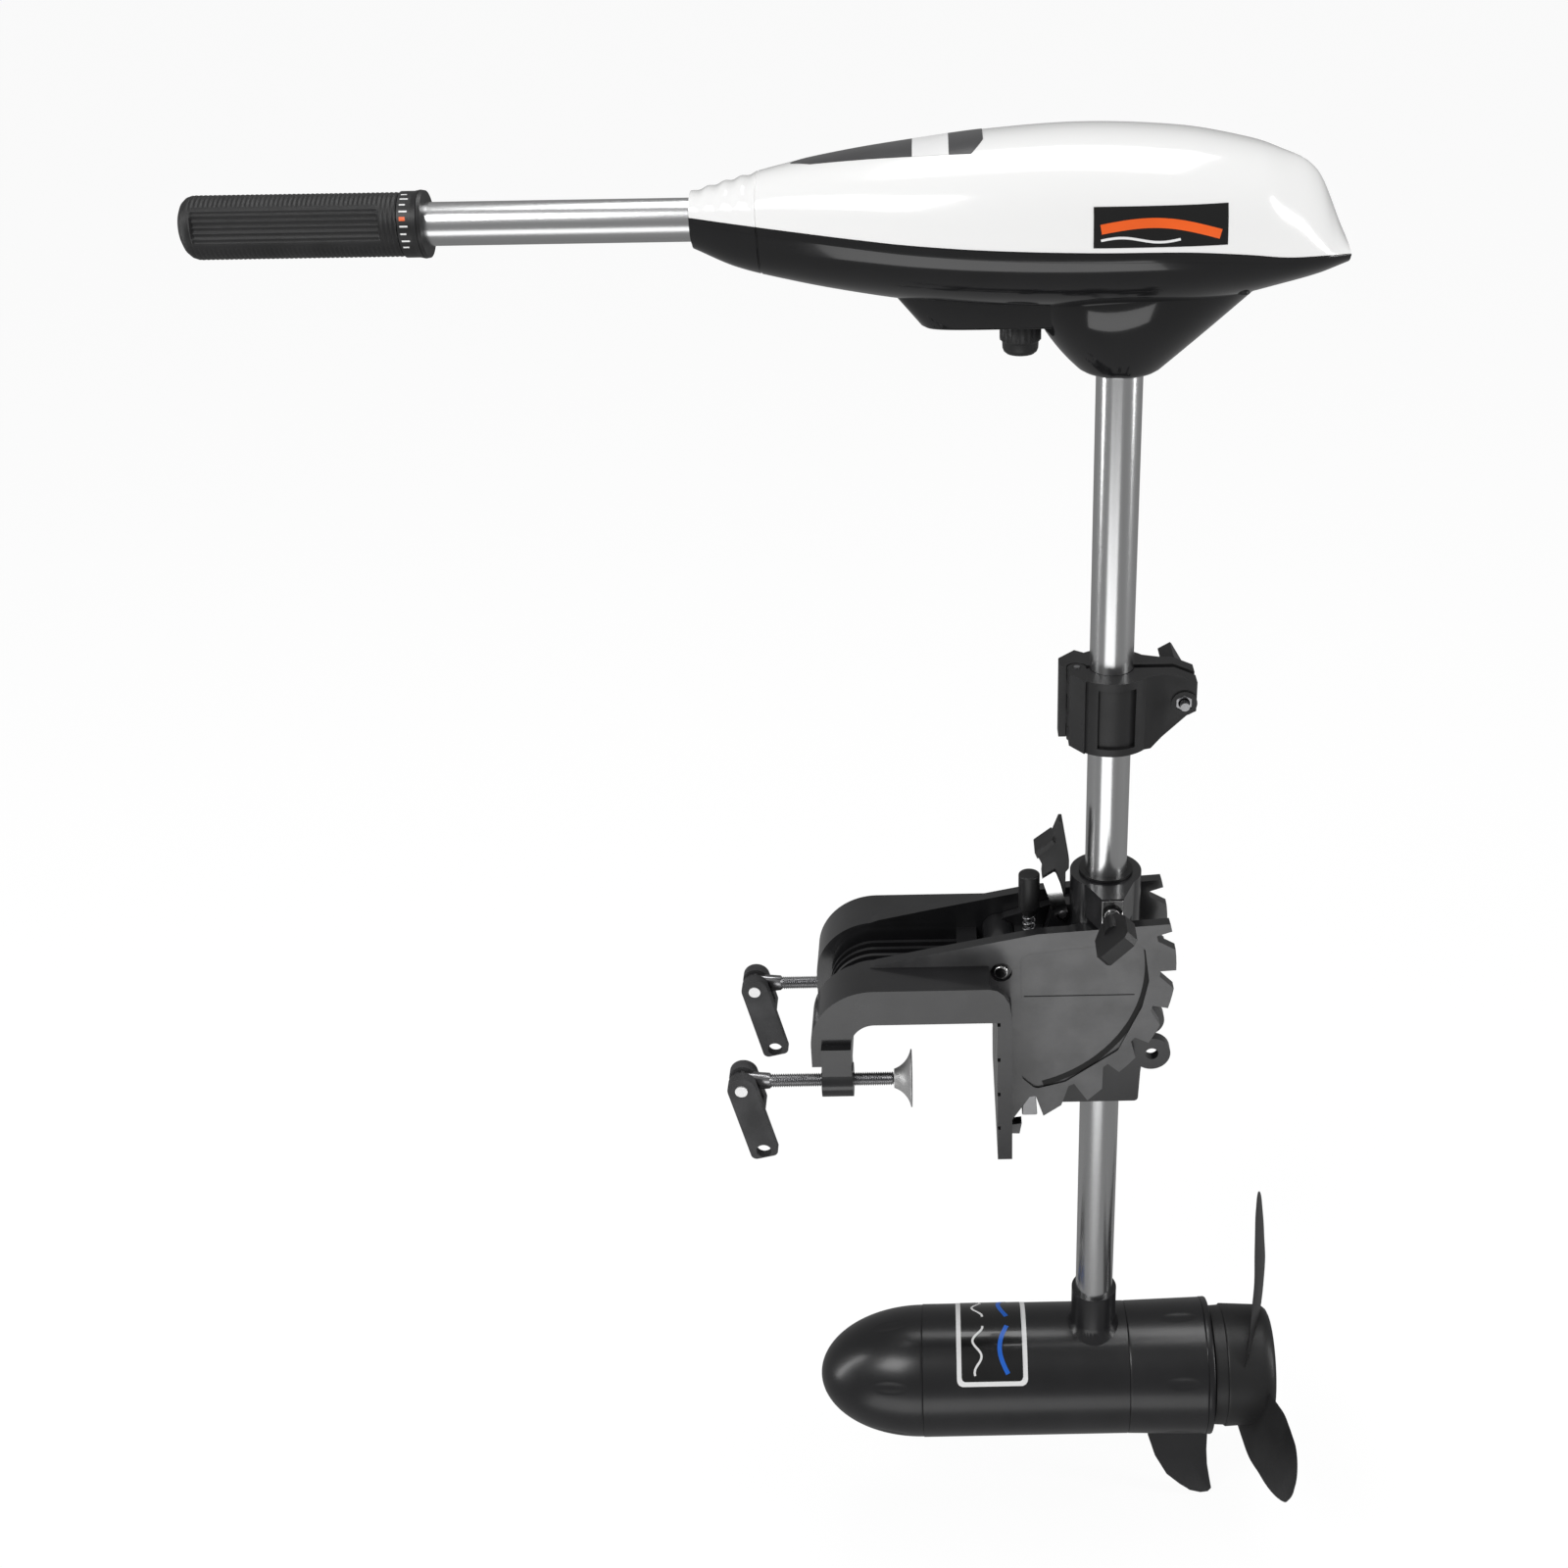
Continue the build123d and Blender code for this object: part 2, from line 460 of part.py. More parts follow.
with BuildPart() as lever_pin:
    bar(2.5, (LEVER_X, -8.5, LEVER_Z), (LEVER_X, 8.5, LEVER_Z))
lever_pin.part.label = "lever_pin"
export_step(lever_pin.part, "parts/lever_pin.step")

with BuildPart() as lock_rod:
    bar(ROD_R, (ROD_X, 0, PAWL_TOP), (ROD_X, 0, SPRING_TOP + 8.0))
lock_rod.part.label = "lock_rod"
export_step(lock_rod.part, "parts/lock_rod.step")

with BuildPart() as lock_knob:
    bar(4.4, (ROD_X, 0, SPRING_TOP), (ROD_X, 0, 99.0), end_radius=7.2)
    bar(7.2, (ROD_X, 0, 99.0), (ROD_X, 0, KNOB_TOP))
    fillet(lock_knob.faces().sort_by(Axis.Z)[-1].edges(), 1.0)
    bar(ROD_R, (ROD_X, 0, SPRING_TOP), (ROD_X, 0, SPRING_TOP + 8.0), mode=Mode.SUBTRACT)
lock_knob.part.label = "lock_knob"
export_step(lock_knob.part, "parts/lock_knob.step")

with BuildPart() as lock_pawl:
    slab([(18.3, PAWL_BOTTOM), (29.2, PAWL_BOTTOM), (28.0, PAWL_TOP), (19.5, PAWL_TOP)], -BLOCK_Y, BLOCK_Y)
    fillet(lock_pawl.edges().filter_by(Axis.Y), 1.0)
lock_pawl.part.label = "lock_pawl"
export_step(lock_pawl.part, "parts/lock_pawl.step")

SPRING_TURNS = 4.0
SPRING_WIRE = 0.6
with BuildPart() as plunger_spring:
    spring_low = BRIDGE_TOP + SPRING_WIRE + 0.05
    spring_high = SPRING_TOP - SPRING_WIRE - 0.05
    with BuildLine():
        coil = Helix((spring_high - spring_low) / SPRING_TURNS, spring_high - spring_low, 3.9,
                     center=(ROD_X, 0, spring_low))
    with BuildSketch(Plane(origin=coil @ 0, z_dir=coil % 0)):
        Circle(SPRING_WIRE)
    sweep()
plunger_spring.part.label = "plunger_spring"
export_step(plunger_spring.part, "parts/plunger_spring.step")

# ---- depth collar: two hinged halves, pin, bolt, nut and wing knob ----------------------
with BuildPart() as collar_rear_half:
    with BuildSketch(Plane.XY.offset(RING_Z0)) as ring:
        with Locations((SHAFT_X, 0)):
            Circle(RING_R)
        Polygon((SHAFT_X - 33.0, -2.0), (SHAFT_X - 33.0, 14.0), (SHAFT_X - 22.0, 26.0), (SHAFT_X, 10.0),
                (SHAFT_X - 10.0, -2.0), align=None)
        Polygon((SHAFT_X + 10.0, EAR_GAP), (RING_BOLT_X + 8.0, EAR_GAP), (RING_BOLT_X + 8.0, EAR_GAP + EAR_T),
                (SHAFT_X + 32.0, EAR_GAP + EAR_T), (SHAFT_X + 14.0, EAR_GAP + EAR_T + 6.0), align=None)
        with Locations((SHAFT_X, 0)):
            Circle(SHAFT_R + RUNNING, mode=Mode.SUBTRACT)
        with Locations((SHAFT_X, -50.0 + EAR_GAP)):
            Rectangle(200.0, 100.0, mode=Mode.SUBTRACT)
    extrude(ring.sketch, amount=RING_Z1 - RING_Z0)
    slab([(SHAFT_X + 28.0, RING_Z1 + 5), (RING_BOLT_X + 20, RING_Z1 + 5), (RING_BOLT_X + 20, RING_BOLT_Z + 9)],
         0.0, 30.0, mode=Mode.SUBTRACT)
    slab([(SHAFT_X + 20.0, RING_Z0 - 5), (RING_BOLT_X + 20, RING_Z0 - 5), (RING_BOLT_X + 20, RING_BOLT_Z),
          (RING_BOLT_X + 2, RING_BOLT_Z - 9)], 0.0, 30.0, mode=Mode.SUBTRACT)
    for low, high in ((RING_Z0 + 10, RING_Z0 + 20), (RING_Z1 - 20, RING_Z1 - 10)):
        bar(6.0, (RING_HINGE_X, 0, low), (RING_HINGE_X, 0, high))
    bar(SHAFT_R + RUNNING, (SHAFT_X, 0, RING_Z0 - 5), (SHAFT_X, 0, RING_Z1 + 5), mode=Mode.SUBTRACT)
    for low, high in ((RING_Z0 - 1, RING_Z0 + 10), (RING_Z0 + 20, RING_Z1 - 20),
                      (RING_Z1 - 10, RING_Z1 + 1)):
        bar(6.6, (RING_HINGE_X, 0, low), (RING_HINGE_X, 0, high), mode=Mode.SUBTRACT)
    bar(2.0, (RING_HINGE_X, 0, RING_Z0 - 5), (RING_HINGE_X, 0, RING_Z1 + 5), mode=Mode.SUBTRACT)
    bar(3.6, (RING_BOLT_X, 0, RING_BOLT_Z), (RING_BOLT_X, 30, RING_BOLT_Z), mode=Mode.SUBTRACT)
collar_rear_half.part.label = "collar_rear_half"
export_step(collar_rear_half.part, "parts/collar_rear_half.step")

with BuildPart() as collar_front_half:
    with BuildSketch(Plane.XY.offset(RING_Z0)) as ring:
        with Locations((SHAFT_X, 0)):
            Circle(RING_R)
        Polygon((RING_HINGE_X - 5.0, 0.0), (RING_HINGE_X - 5.0, -10.0), (SHAFT_X - 18.0, -22.0),
                (SHAFT_X - 6.0, -10.0), (SHAFT_X - 6.0, 0.0), align=None)
        Polygon((SHAFT_X + 10.0, -EAR_GAP), (RING_BOLT_X + 8.0, -EAR_GAP),
                (RING_BOLT_X + 8.0, -EAR_GAP - EAR_T), (SHAFT_X + 32.0, -EAR_GAP - EAR_T),
                (SHAFT_X + 14.0, -EAR_GAP - EAR_T - 6.0), align=None)
        with Locations((SHAFT_X, 50.0 - EAR_GAP)):
            Rectangle(200.0, 100.0, mode=Mode.SUBTRACT)
    extrude(ring.sketch, amount=RING_Z1 - RING_Z0)
    slab([(SHAFT_X + 28.0, RING_Z1 + 5), (RING_BOLT_X + 20, RING_Z1 + 5), (RING_BOLT_X + 20, RING_BOLT_Z + 9)],
         -30.0, 0.0, mode=Mode.SUBTRACT)
    slab([(SHAFT_X + 20.0, RING_Z0 - 5), (RING_BOLT_X + 20, RING_Z0 - 5), (RING_BOLT_X + 20, RING_BOLT_Z),
          (RING_BOLT_X + 2, RING_BOLT_Z - 9)], -30.0, 0.0, mode=Mode.SUBTRACT)
    for low, high in ((RING_Z0, RING_Z0 + 10), (RING_Z0 + 20, RING_Z1 - 20), (RING_Z1 - 10, RING_Z1)):
        bar(6.0, (RING_HINGE_X, 0, low + 0.3), (RING_HINGE_X, 0, high - 0.3))
    for low, high in ((RING_Z0 + 10, RING_Z0 + 20), (RING_Z1 - 20, RING_Z1 - 10)):
        bar(6.6, (RING_HINGE_X, 0, low - 0.3), (RING_HINGE_X, 0, high + 0.3), mode=Mode.SUBTRACT)
    bar(SHAFT_R + GAP, (SHAFT_X, 0, RING_Z0 - 5), (SHAFT_X, 0, RING_Z1 + 5), mode=Mode.SUBTRACT)
    with BuildSketch(Plane.XY.offset(RING_Z0 + 5.0)) as recess:
        with Locations((SHAFT_X, 0)):
            Circle(RING_R + 1)
            Circle(RING_R - 2.5, mode=Mode.SUBTRACT)
        with Locations((SHAFT_X + 2.0, -24.0)):
            Rectangle(24.0, 20.0, mode=Mode.INTERSECT)
    extrude(recess.sketch, amount=RING_Z1 - RING_Z0 - 10.0, mode=Mode.SUBTRACT)
    bar(2.0 + RUNNING, (RING_HINGE_X, 0, RING_Z0 - 5), (RING_HINGE_X, 0, RING_Z1 + 5), mode=Mode.SUBTRACT)
    boss_face = -EAR_GAP - EAR_T - 1.5
    bar(8.3, (RING_BOLT_X, boss_face, RING_BOLT_Z), (RING_BOLT_X, -EAR_GAP, RING_BOLT_Z))
    bar(3.6, (RING_BOLT_X, -30, RING_BOLT_Z), (RING_BOLT_X, 0, RING_BOLT_Z), mode=Mode.SUBTRACT)
    hex_bar(10.0, (RING_BOLT_X, boss_face + 5.0, RING_BOLT_Z), (RING_BOLT_X, boss_face - 5.0, RING_BOLT_Z),
            mode=Mode.SUBTRACT)
collar_front_half.part.label = "collar_front_half"
export_step(collar_front_half.part, "parts/collar_front_half.step")

with BuildPart() as collar_hinge_pin:
    bar(2.0, (RING_HINGE_X, 0, RING_Z0), (RING_HINGE_X, 0, RING_Z1 + 0.4))
collar_hinge_pin.part.label = "collar_hinge_pin"
export_step(collar_hinge_pin.part, "parts/collar_hinge_pin.step")

with BuildPart() as collar_nut:
    hex_bar(10.0, (RING_BOLT_X, boss_face + 5.0, RING_BOLT_Z), (RING_BOLT_X, boss_face + 0.8, RING_BOLT_Z))
    bar(3.6, (RING_BOLT_X, -30, RING_BOLT_Z), (RING_BOLT_X, 0, RING_BOLT_Z), mode=Mode.SUBTRACT)
collar_nut.part.label = "collar_nut"
export_step(collar_nut.part, "parts/collar_nut.step")

with BuildPart() as collar_bolt:
    bar(2.9, (RING_BOLT_X, boss_face - 5.0, RING_BOLT_Z), (RING_BOLT_X, EAR_GAP + EAR_T + 14.1, RING_BOLT_Z))
    bar(5.0, (RING_BOLT_X, EAR_GAP + EAR_T + 0.3, RING_BOLT_Z), (RING_BOLT_X, EAR_GAP + EAR_T + 4, RING_BOLT_Z))
collar_bolt.part.label = "collar_bolt"
export_step(collar_bolt.part, "parts/collar_bolt.step")

with BuildPart() as collar_knob:
    wing_knob(RING_BOLT_X, RING_BOLT_Z, EAR_GAP + EAR_T + 4.1, 1, 120.0)
collar_knob.part.label = "collar_knob"
export_step(collar_knob.part, "parts/collar_knob.step")

# ---- shaft ---------------------------------------------------------------------------
with BuildPart() as shaft_tube:
    bar(SHAFT_R, (SHAFT_X, 0, SHAFT_BOTTOM), (SHAFT_X, 0, SHAFT_TOP))
    bar(SHAFT_R - SHAFT_WALL, (SHAFT_X, 0, SHAFT_BOTTOM - 1), (SHAFT_X, 0, SHAFT_TOP + 1), mode=Mode.SUBTRACT)
shaft_tube.part.label = "shaft_tube"
export_step(shaft_tube.part, "parts/shaft_tube.step")

WIRE_R = 1.7
WIRE_RING_R = SHAFT_R - SHAFT_WALL - WIRE_R
with BuildPart() as shaft_wires:
    for index in range(5):
        angle = math.radians(72.0 * index)
        wire_x = SHAFT_X + WIRE_RING_R * math.cos(angle)
        wire_y = WIRE_RING_R * math.sin(angle)
        bar(WIRE_R, (wire_x, wire_y, SHAFT_BOTTOM - 1.0), (wire_x, wire_y, SHAFT_TOP + 4.0))
shaft_wires.part.label = "shaft_wires"
export_step(shaft_wires.part, "parts/shaft_wires.step")


# ---- head shells ------------------------------------------------------------------------
def head_limits(x):
    """Parting height, top, bottom and half width of the head at a station."""
    for low, high in zip(HEAD_STATIONS, HEAD_STATIONS[1:]):
        if x <= high[0]:
            break
    t = (x - low[0]) / (high[0] - low[0])
    return [a + t * (b - a) for a, b in zip(low[1:], high[1:])]


def half_section(x, wall, upper):
    """Upper or lower half of the head's oval section, drawn inwards by the wall."""
    split, top, bottom, half_width = head_limits(x)
    if not upper:
        split -= PARTING_GAP
    height = (top - split if upper else split - bottom) - wall
    width = half_width - wall
    crown = height if upper else -height
    base = split - 1.5 if upper else split + 1.5
    with BuildSketch(Plane.YZ.offset(x)) as section:
        with BuildLine():
            if wall:
                Polyline((-width, split), (-width, base), (width, base), (width, split))
            else:
                Line((-width, split), (width, split))
            Spline((width, split), (width * 0.924, split + crown * 0.44), (width * 0.66, split + crown * 0.80),
                   (0, split + crown), (-width * 0.66, split + crown * 0.80),
                   (-width * 0.924, split + crown * 0.44), (-width, split))
        make_face()
    return section.sketch


def head_half(wall, upper, mode=Mode.ADD):
    """Loft one half of the head through its stations."""
    stations = [x for x, *_ in HEAD_STATIONS]
    stations[0] += wall
    stations[-1] -= wall * 2.5
    loft([half_section(x, wall, upper) for x in stations], mode=mode)


def add_posts(upper):
    """Screw posts inside one half of the head."""
    for post_x, post_y in HEAD_POSTS:
        split, top, bottom, half_width = head_limits(post_x)
        reach = math.sqrt(1 - (post_y / half_width) ** 2)
        if upper:
            end = split + (top - split) * reach - 2.0
        else:
            end = split - (split - bottom) * reach + 1.0
        bar(POST_R, (post_x, post_y, split), (post_x, post_y, end))


with BuildPart() as head_cover:
    head_half(0.0, True)
    head_half(HEAD_WALL, True, mode=Mode.SUBTRACT)
    add_posts(True)
    bar(TILLER_R + 1.5, (-175.0, 0, TILLER_Z), (-140.0, 0, TILLER_Z), mode=Mode.SUBTRACT)
    for post_x, post_y in HEAD_POSTS:
        split = head_limits(post_x)[0]
        bar(POST_HOLE_R, (post_x, post_y, split - 5), (post_x, post_y, split + 14), mode=Mode.SUBTRACT)
head_cover.part.label = "head_cover"
export_step(head_cover.part, "parts/head_cover.step")

with BuildPart() as head_base:
    head_half(0.0, False)
    with BuildSketch(Plane.XY.offset(520.0)) as step_top:
        with Locations((8.0, 0)):
            RectangleRounded(150.0, 74.0, 20.0)
    with BuildSketch(Plane.XY.offset(500.5)) as step_bottom:
        with Locations((14.0, 0)):
            RectangleRounded(112.0, 62.0, 18.0)
    loft([step_top.sketch, step_bottom.sketch])
    with BuildSketch(Plane.XY.offset(521.0)) as fairing_top:
        with Locations((SHAFT_X + 14.0, 0)):
            Ellipse(68.0, 42.0)
    with BuildSketch(Plane.XY.offset(HUB_BOTTOM)) as fairing_bottom:
        with Locations((SHAFT_X, 0)):
            Ellipse(20.5, 19.5)
    loft([fairing_top.sketch, fairing_bottom.sketch])
    fillet(head_base.faces().sort_by(Axis.Z)[0].edges(), 4.0)
    head_half(HEAD_WALL, False, mode=Mode.SUBTRACT)
    with BuildSketch(Plane.XY.offset(519.0)) as well_top:
        with Locations((8.0, 0)):
            RectangleRounded(140.0, 66.0, 18.0)
    with BuildSketch(Plane.XY.offset(503.5)) as well_bottom:
        with Locations((14.0, 0)):
            RectangleRounded(104.0, 54.0, 16.0)
    loft([well_top.sketch, well_bottom.sketch], mode=Mode.SUBTRACT)
    add_posts(False)
    bar(SHAFT_R + 6.0, (SHAFT_X, 0, HUB_BOTTOM + 6), (SHAFT_X, 0, 530.0))
    bar(SHAFT_R, (SHAFT_X, 0, HUB_BOTTOM - 5), (SHAFT_X, 0, 560.0), mode=Mode.SUBTRACT)
    bar(TILLER_R + 1.5, (-175.0, 0, TILLER_Z), (-140.0, 0, TILLER_Z), mode=Mode.SUBTRACT)
    bar(8.0, (GLAND_X, 0, 490.0), (GLAND_X, 0, 510.0), mode=Mode.SUBTRACT)
    for post_x, post_y in HEAD_POSTS:
        split = head_limits(post_x)[0]
        bar(POST_HOLE_R, (post_x, post_y, 490.0), (post_x, post_y, split + 1), mode=Mode.SUBTRACT)
        bar(3.6, (post_x, post_y, 490.0), (post_x, post_y, split - 24), mode=Mode.SUBTRACT)
head_base.part.label = "head_base"
export_step(head_base.part, "parts/head_base.step")

with BuildPart() as head_screws:
    for post_x, post_y in HEAD_POSTS:
        split = head_limits(post_x)[0]
        bar(POST_HOLE_R, (post_x, post_y, split - 24), (post_x, post_y, split + 12))
        bar(3.4, (post_x, post_y, split - 26.5), (post_x, post_y, split - 24))
head_screws.part.label = "head_screws"
export_step(head_screws.part, "parts/head_screws.step")

# ---- battery cable gland ----------------------------------------------------------------
with BuildPart() as cable_gland:
    bar(11.0, (GLAND_X, 0, 503.5), (GLAND_X, 0, 507.5))
    bar(8.0, (GLAND_X, 0, 491.0), (GLAND_X, 0, 503.5))
    bar(4.0, (GLAND_X, 0, 480.0), (GLAND_X, 0, 510.0), mode=Mode.SUBTRACT)
cable_gland.part.label = "cable_gland"
export_step(cable_gland.part, "parts/cable_gland.step")

with BuildPart() as gland_nut:
    bar(12.3, (GLAND_X, 0, 489.6), (GLAND_X, 0, 500.3))
    bar(10.6, (GLAND_X, 0, 481.5), (GLAND_X, 0, 489.6))
    fillet(gland_nut.faces().sort_by(Axis.Z)[0].edges(), 4.5)
    bar(8.0, (GLAND_X, 0, 491.0), (GLAND_X, 0, 500.3), mode=Mode.SUBTRACT)
    bar(4.0, (GLAND_X, 0, 480.0), (GLAND_X, 0, 510.0), mode=Mode.SUBTRACT)
gland_nut.part.label = "gland_nut"
export_step(gland_nut.part, "parts/gland_nut.step")

# ---- speed switch and tiller ---------------------------------------------------------------
SWITCH_X0 = 4.0
SWITCH_X1 = 42.0
with BuildPart() as speed_switch:
    block((SWITCH_X0, -19.0, TILLER_Z - 17.0), (SWITCH_X1, 19.0, TILLER_Z + 17.0))
    block((SWITCH_X1 - 9, -15.0, 503.5), (SWITCH_X1 - 1, 15.0, TILLER_Z - 17.0))
    bar(9.0 + RUNNING, (SWITCH_X0 - 1, 0, TILLER_Z), (SWITCH_X1 + 1, 0, TILLER_Z), mode=Mode.SUBTRACT)
speed_switch.part.label = "speed_switch"
export_step(speed_switch.part, "parts/speed_switch.step")

with BuildPart() as switch_rotor:
    bar(9.0, (SWITCH_X0 - 3, 0, TILLER_Z), (SWITCH_X1 + 1, 0, TILLER_Z))
    hex_bar(ROD_AF + 0.4, (SWITCH_X0 - 5, 0, TILLER_Z), (SWITCH_X1 + 5, 0, TILLER_Z), mode=Mode.SUBTRACT)
switch_rotor.part.label = "switch_rotor"
export_step(switch_rotor.part, "parts/switch_rotor.step")

with BuildPart() as tiller_bush:
    bar(TILLER_R + 1.5, (-169.6, 0, TILLER_Z), (-145.0, 0, TILLER_Z))
    bar(TILLER_R + RUNNING, (-175.0, 0, TILLER_Z), (-140.0, 0, TILLER_Z), mode=Mode.SUBTRACT)
tiller_bush.part.label = "tiller_bush"
export_step(tiller_bush.part, "parts/tiller_bush.step")

with BuildPart() as tiller_tube:
    bar(TILLER_R, (TUBE_OUTER_END, 0, TILLER_Z), (TUBE_INNER_END, 0, TILLER_Z))
    bar(TILLER_R - TILLER_WALL, (TUBE_OUTER_END - 1, 0, TILLER_Z), (TUBE_INNER_END + 1, 0, TILLER_Z),
        mode=Mode.SUBTRACT)
tiller_tube.part.label = "tiller_tube"
export_step(tiller_tube.part, "parts/tiller_tube.step")

with BuildPart() as throttle_rod:
    hex_bar(ROD_AF, (GRIP_X0 + 4.0, 0, TILLER_Z), (ROD_INNER_END, 0, TILLER_Z))
throttle_rod.part.label = "throttle_rod"
export_step(throttle_rod.part, "parts/throttle_rod.step")

with BuildPart() as twist_grip:
    turned_x([(GRIP_X0 - 1.0, 0.0), (GRIP_X0 - 0.6, 8.0), (GRIP_X0 + 2.0, 14.5), (GRIP_X0 + 7.0, GRIP_R),
              (GRIP_X1, GRIP_R), (GRIP_X1, TILLER_R + RUNNING), (GRIP_X0 + 4.6, TILLER_R + RUNNING),
              (GRIP_X0 + 4.6, 0.0)], TILLER_Z)
    hex_bar(ROD_AF, (GRIP_X0 + 4.0, 0, TILLER_Z), (GRIP_X0 + 20.0, 0, TILLER_Z), mode=Mode.SUBTRACT)
twist_grip.part.label = "twist_grip"
export_step(twist_grip.part, "parts/twist_grip.step")

with BuildPart() as dial_ring:
    turned_x([(GRIP_X1, TILLER_R + RUNNING), (GRIP_X1, 18.1), (DIAL_X1 - 3.0, 18.1), (DIAL_X1, DIAL_R),
              (DIAL_X1, TILLER_R + RUNNING)], TILLER_Z)
dial_ring.part.label = "dial_ring"
export_step(dial_ring.part, "parts/dial_ring.step")

with BuildPart() as grip_end_ring:
    turned_x([(DIAL_X1 + GAP, TILLER_R), (DIAL_X1 + GAP, DIAL_R), (END_RING_X1, DIAL_R - 0.4),
              (END_RING_X1, TILLER_R)], TILLER_Z)
grip_end_ring.part.label = "grip_end_ring"
export_step(grip_end_ring.part, "parts/grip_end_ring.step")


# ---- motor housing --------------------------------------------------------------------------
with BuildPart() as nose_cone:
    with BuildSketch(Plane.XZ) as profile:
        with BuildLine():
            Spline((NOSE_TIP, MOTOR_Z), (NOSE_TIP + 7.0, MOTOR_Z + 18.5), (NOSE_TIP + 30.0, MOTOR_Z + 38.0),
                   (NOSE_TIP + 58.0, MOTOR_Z + 47.8), (NOSE_SEAM, MOTOR_Z + MOTOR_R),
                   tangents=[(0, 1), (1, 0.02)])
            Polyline((NOSE_SEAM, MOTOR_Z + MOTOR_R), (NOSE_SEAM, MOTOR_Z + MOTOR_R - MOTOR_WALL))
            Spline((NOSE_SEAM, MOTOR_Z + MOTOR_R - MOTOR_WALL), (NOSE_TIP + 33.0, MOTOR_Z + 33.0),
                   (NOSE_TIP + 8.0, MOTOR_Z), tangents=[(-1, 0), (0, -1)])
            Line((NOSE_TIP + 8.0, MOTOR_Z), (NOSE_TIP, MOTOR_Z))
        make_face()
    revolve(profile.sketch, axis=Axis((0, 0, MOTOR_Z), (1, 0, 0)))
    bar(17.0, (-76.0, 0, MOTOR_Z), (-64.0, 0, MOTOR_Z))
    for web_angle in range(3):
        angle = math.radians(120.0 * web_angle)
        reach = (0, 45.0 * math.sin(angle), MOTOR_Z + 45.0 * math.cos(angle))
        bar(2.5, (-70.0, 0, MOTOR_Z), (-70.0, reach[1], reach[2]))
    bar(13.0, (-72.0, 0, MOTOR_Z), (-60.0, 0, MOTOR_Z), mode=Mode.SUBTRACT)
    bar(7.0, (-90.0, 0, MOTOR_Z), (-60.0, 0, MOTOR_Z), mode=Mode.SUBTRACT)
nose_cone.part.label = "nose_cone"
export_step(nose_cone.part, "parts/nose_cone.step")

with BuildPart() as motor_can:
    bar(MOTOR_R, (NOSE_SEAM, 0, MOTOR_Z), (TAIL_SEAM, 0, MOTOR_Z))
    bar(17.0, (SHAFT_X, 0, MOTOR_Z + 30), (SHAFT_X, 0, COLLAR_TOP))
    bar(24.0, (SHAFT_X, 0, MOTOR_Z + MOTOR_R - 8.0), (SHAFT_X, 0, MOTOR_Z + MOTOR_R + 5.0), end_radius=17.0)
    bar(MOTOR_R - MOTOR_WALL - 1.0, (NOSE_SEAM - 1, 0, MOTOR_Z), (TAIL_SEAM + 1, 0, MOTOR_Z),
        mode=Mode.SUBTRACT)
    bar(SHAFT_R, (SHAFT_X, 0, SHAFT_BOTTOM), (SHAFT_X, 0, COLLAR_TOP + 5), mode=Mode.SUBTRACT)
motor_can.part.label = "motor_can"
export_step(motor_can.part, "parts/motor_can.step")

SKEG = [(121.0, -376.0), (130.0, -425.0), (149.0, -462.0), (167.0, -471.7), (176.0, -467.0), (171.0, -440.0),
        (170.0, -415.0), (166.0, -376.0)]
with BuildPart() as tail_cap:
    turned_x([(TAIL_SEAM, 0.0), (TAIL_SEAM, MOTOR_R), (TAIL_END - 4.0, TAIL_END_R),
              (TAIL_END, TAIL_END_R - 1.5), (TAIL_END, 0.0)], MOTOR_Z)
    turned_x([(TAIL_SEAM - 1.0, 0.0), (TAIL_SEAM - 1.0, MOTOR_R - MOTOR_WALL), (TAIL_END - 8.0, 46.0),
              (TAIL_END - 8.0, 0.0)], MOTOR_Z, mode=Mode.SUBTRACT)
    bar(17.0, (TAIL_END - 26.0, 0, MOTOR_Z), (TAIL_END - 8.0, 0, MOTOR_Z))
    bar(13.0, (TAIL_END - 26.0, 0, MOTOR_Z), (TAIL_END - 18.0, 0, MOTOR_Z), mode=Mode.SUBTRACT)
    bar(10.0, (TAIL_END - 6.0, 0, MOTOR_Z), (TAIL_END + 1.0, 0, MOTOR_Z), mode=Mode.SUBTRACT)
    bar(7.0, (TAIL_END - 30.0, 0, MOTOR_Z), (TAIL_END + 1.0, 0, MOTOR_Z), mode=Mode.SUBTRACT)
    slab(SKEG, -2.6, 2.6)
    block((105.0, -3.0, MOTOR_Z - 45.5), (157.9, 3.0, MOTOR_Z - 20.0), mode=Mode.SUBTRACT)
tail_cap.part.label = "tail_cap"
export_step(tail_cap.part, "parts/tail_cap.step")

# ---- inside the motor: magnets, brushes, bearings, armature ------------------------------
with BuildPart() as magnets:
    with BuildSketch(Plane.YZ.offset(-20.0)) as arcs:
        with Locations((0, MOTOR_Z)):
            Circle(MOTOR_R - MOTOR_WALL - 1.0)
            Circle(ARMATURE_R + 1.0, mode=Mode.SUBTRACT)
            Rectangle(22.0, 100.0, mode=Mode.SUBTRACT)
    extrude(arcs.sketch, amount=78.0)
    fillet(magnets.edges().filter_by(Axis.X), 0.8)
magnets.part.label = "magnets"
export_step(magnets.part, "parts/magnets.step")

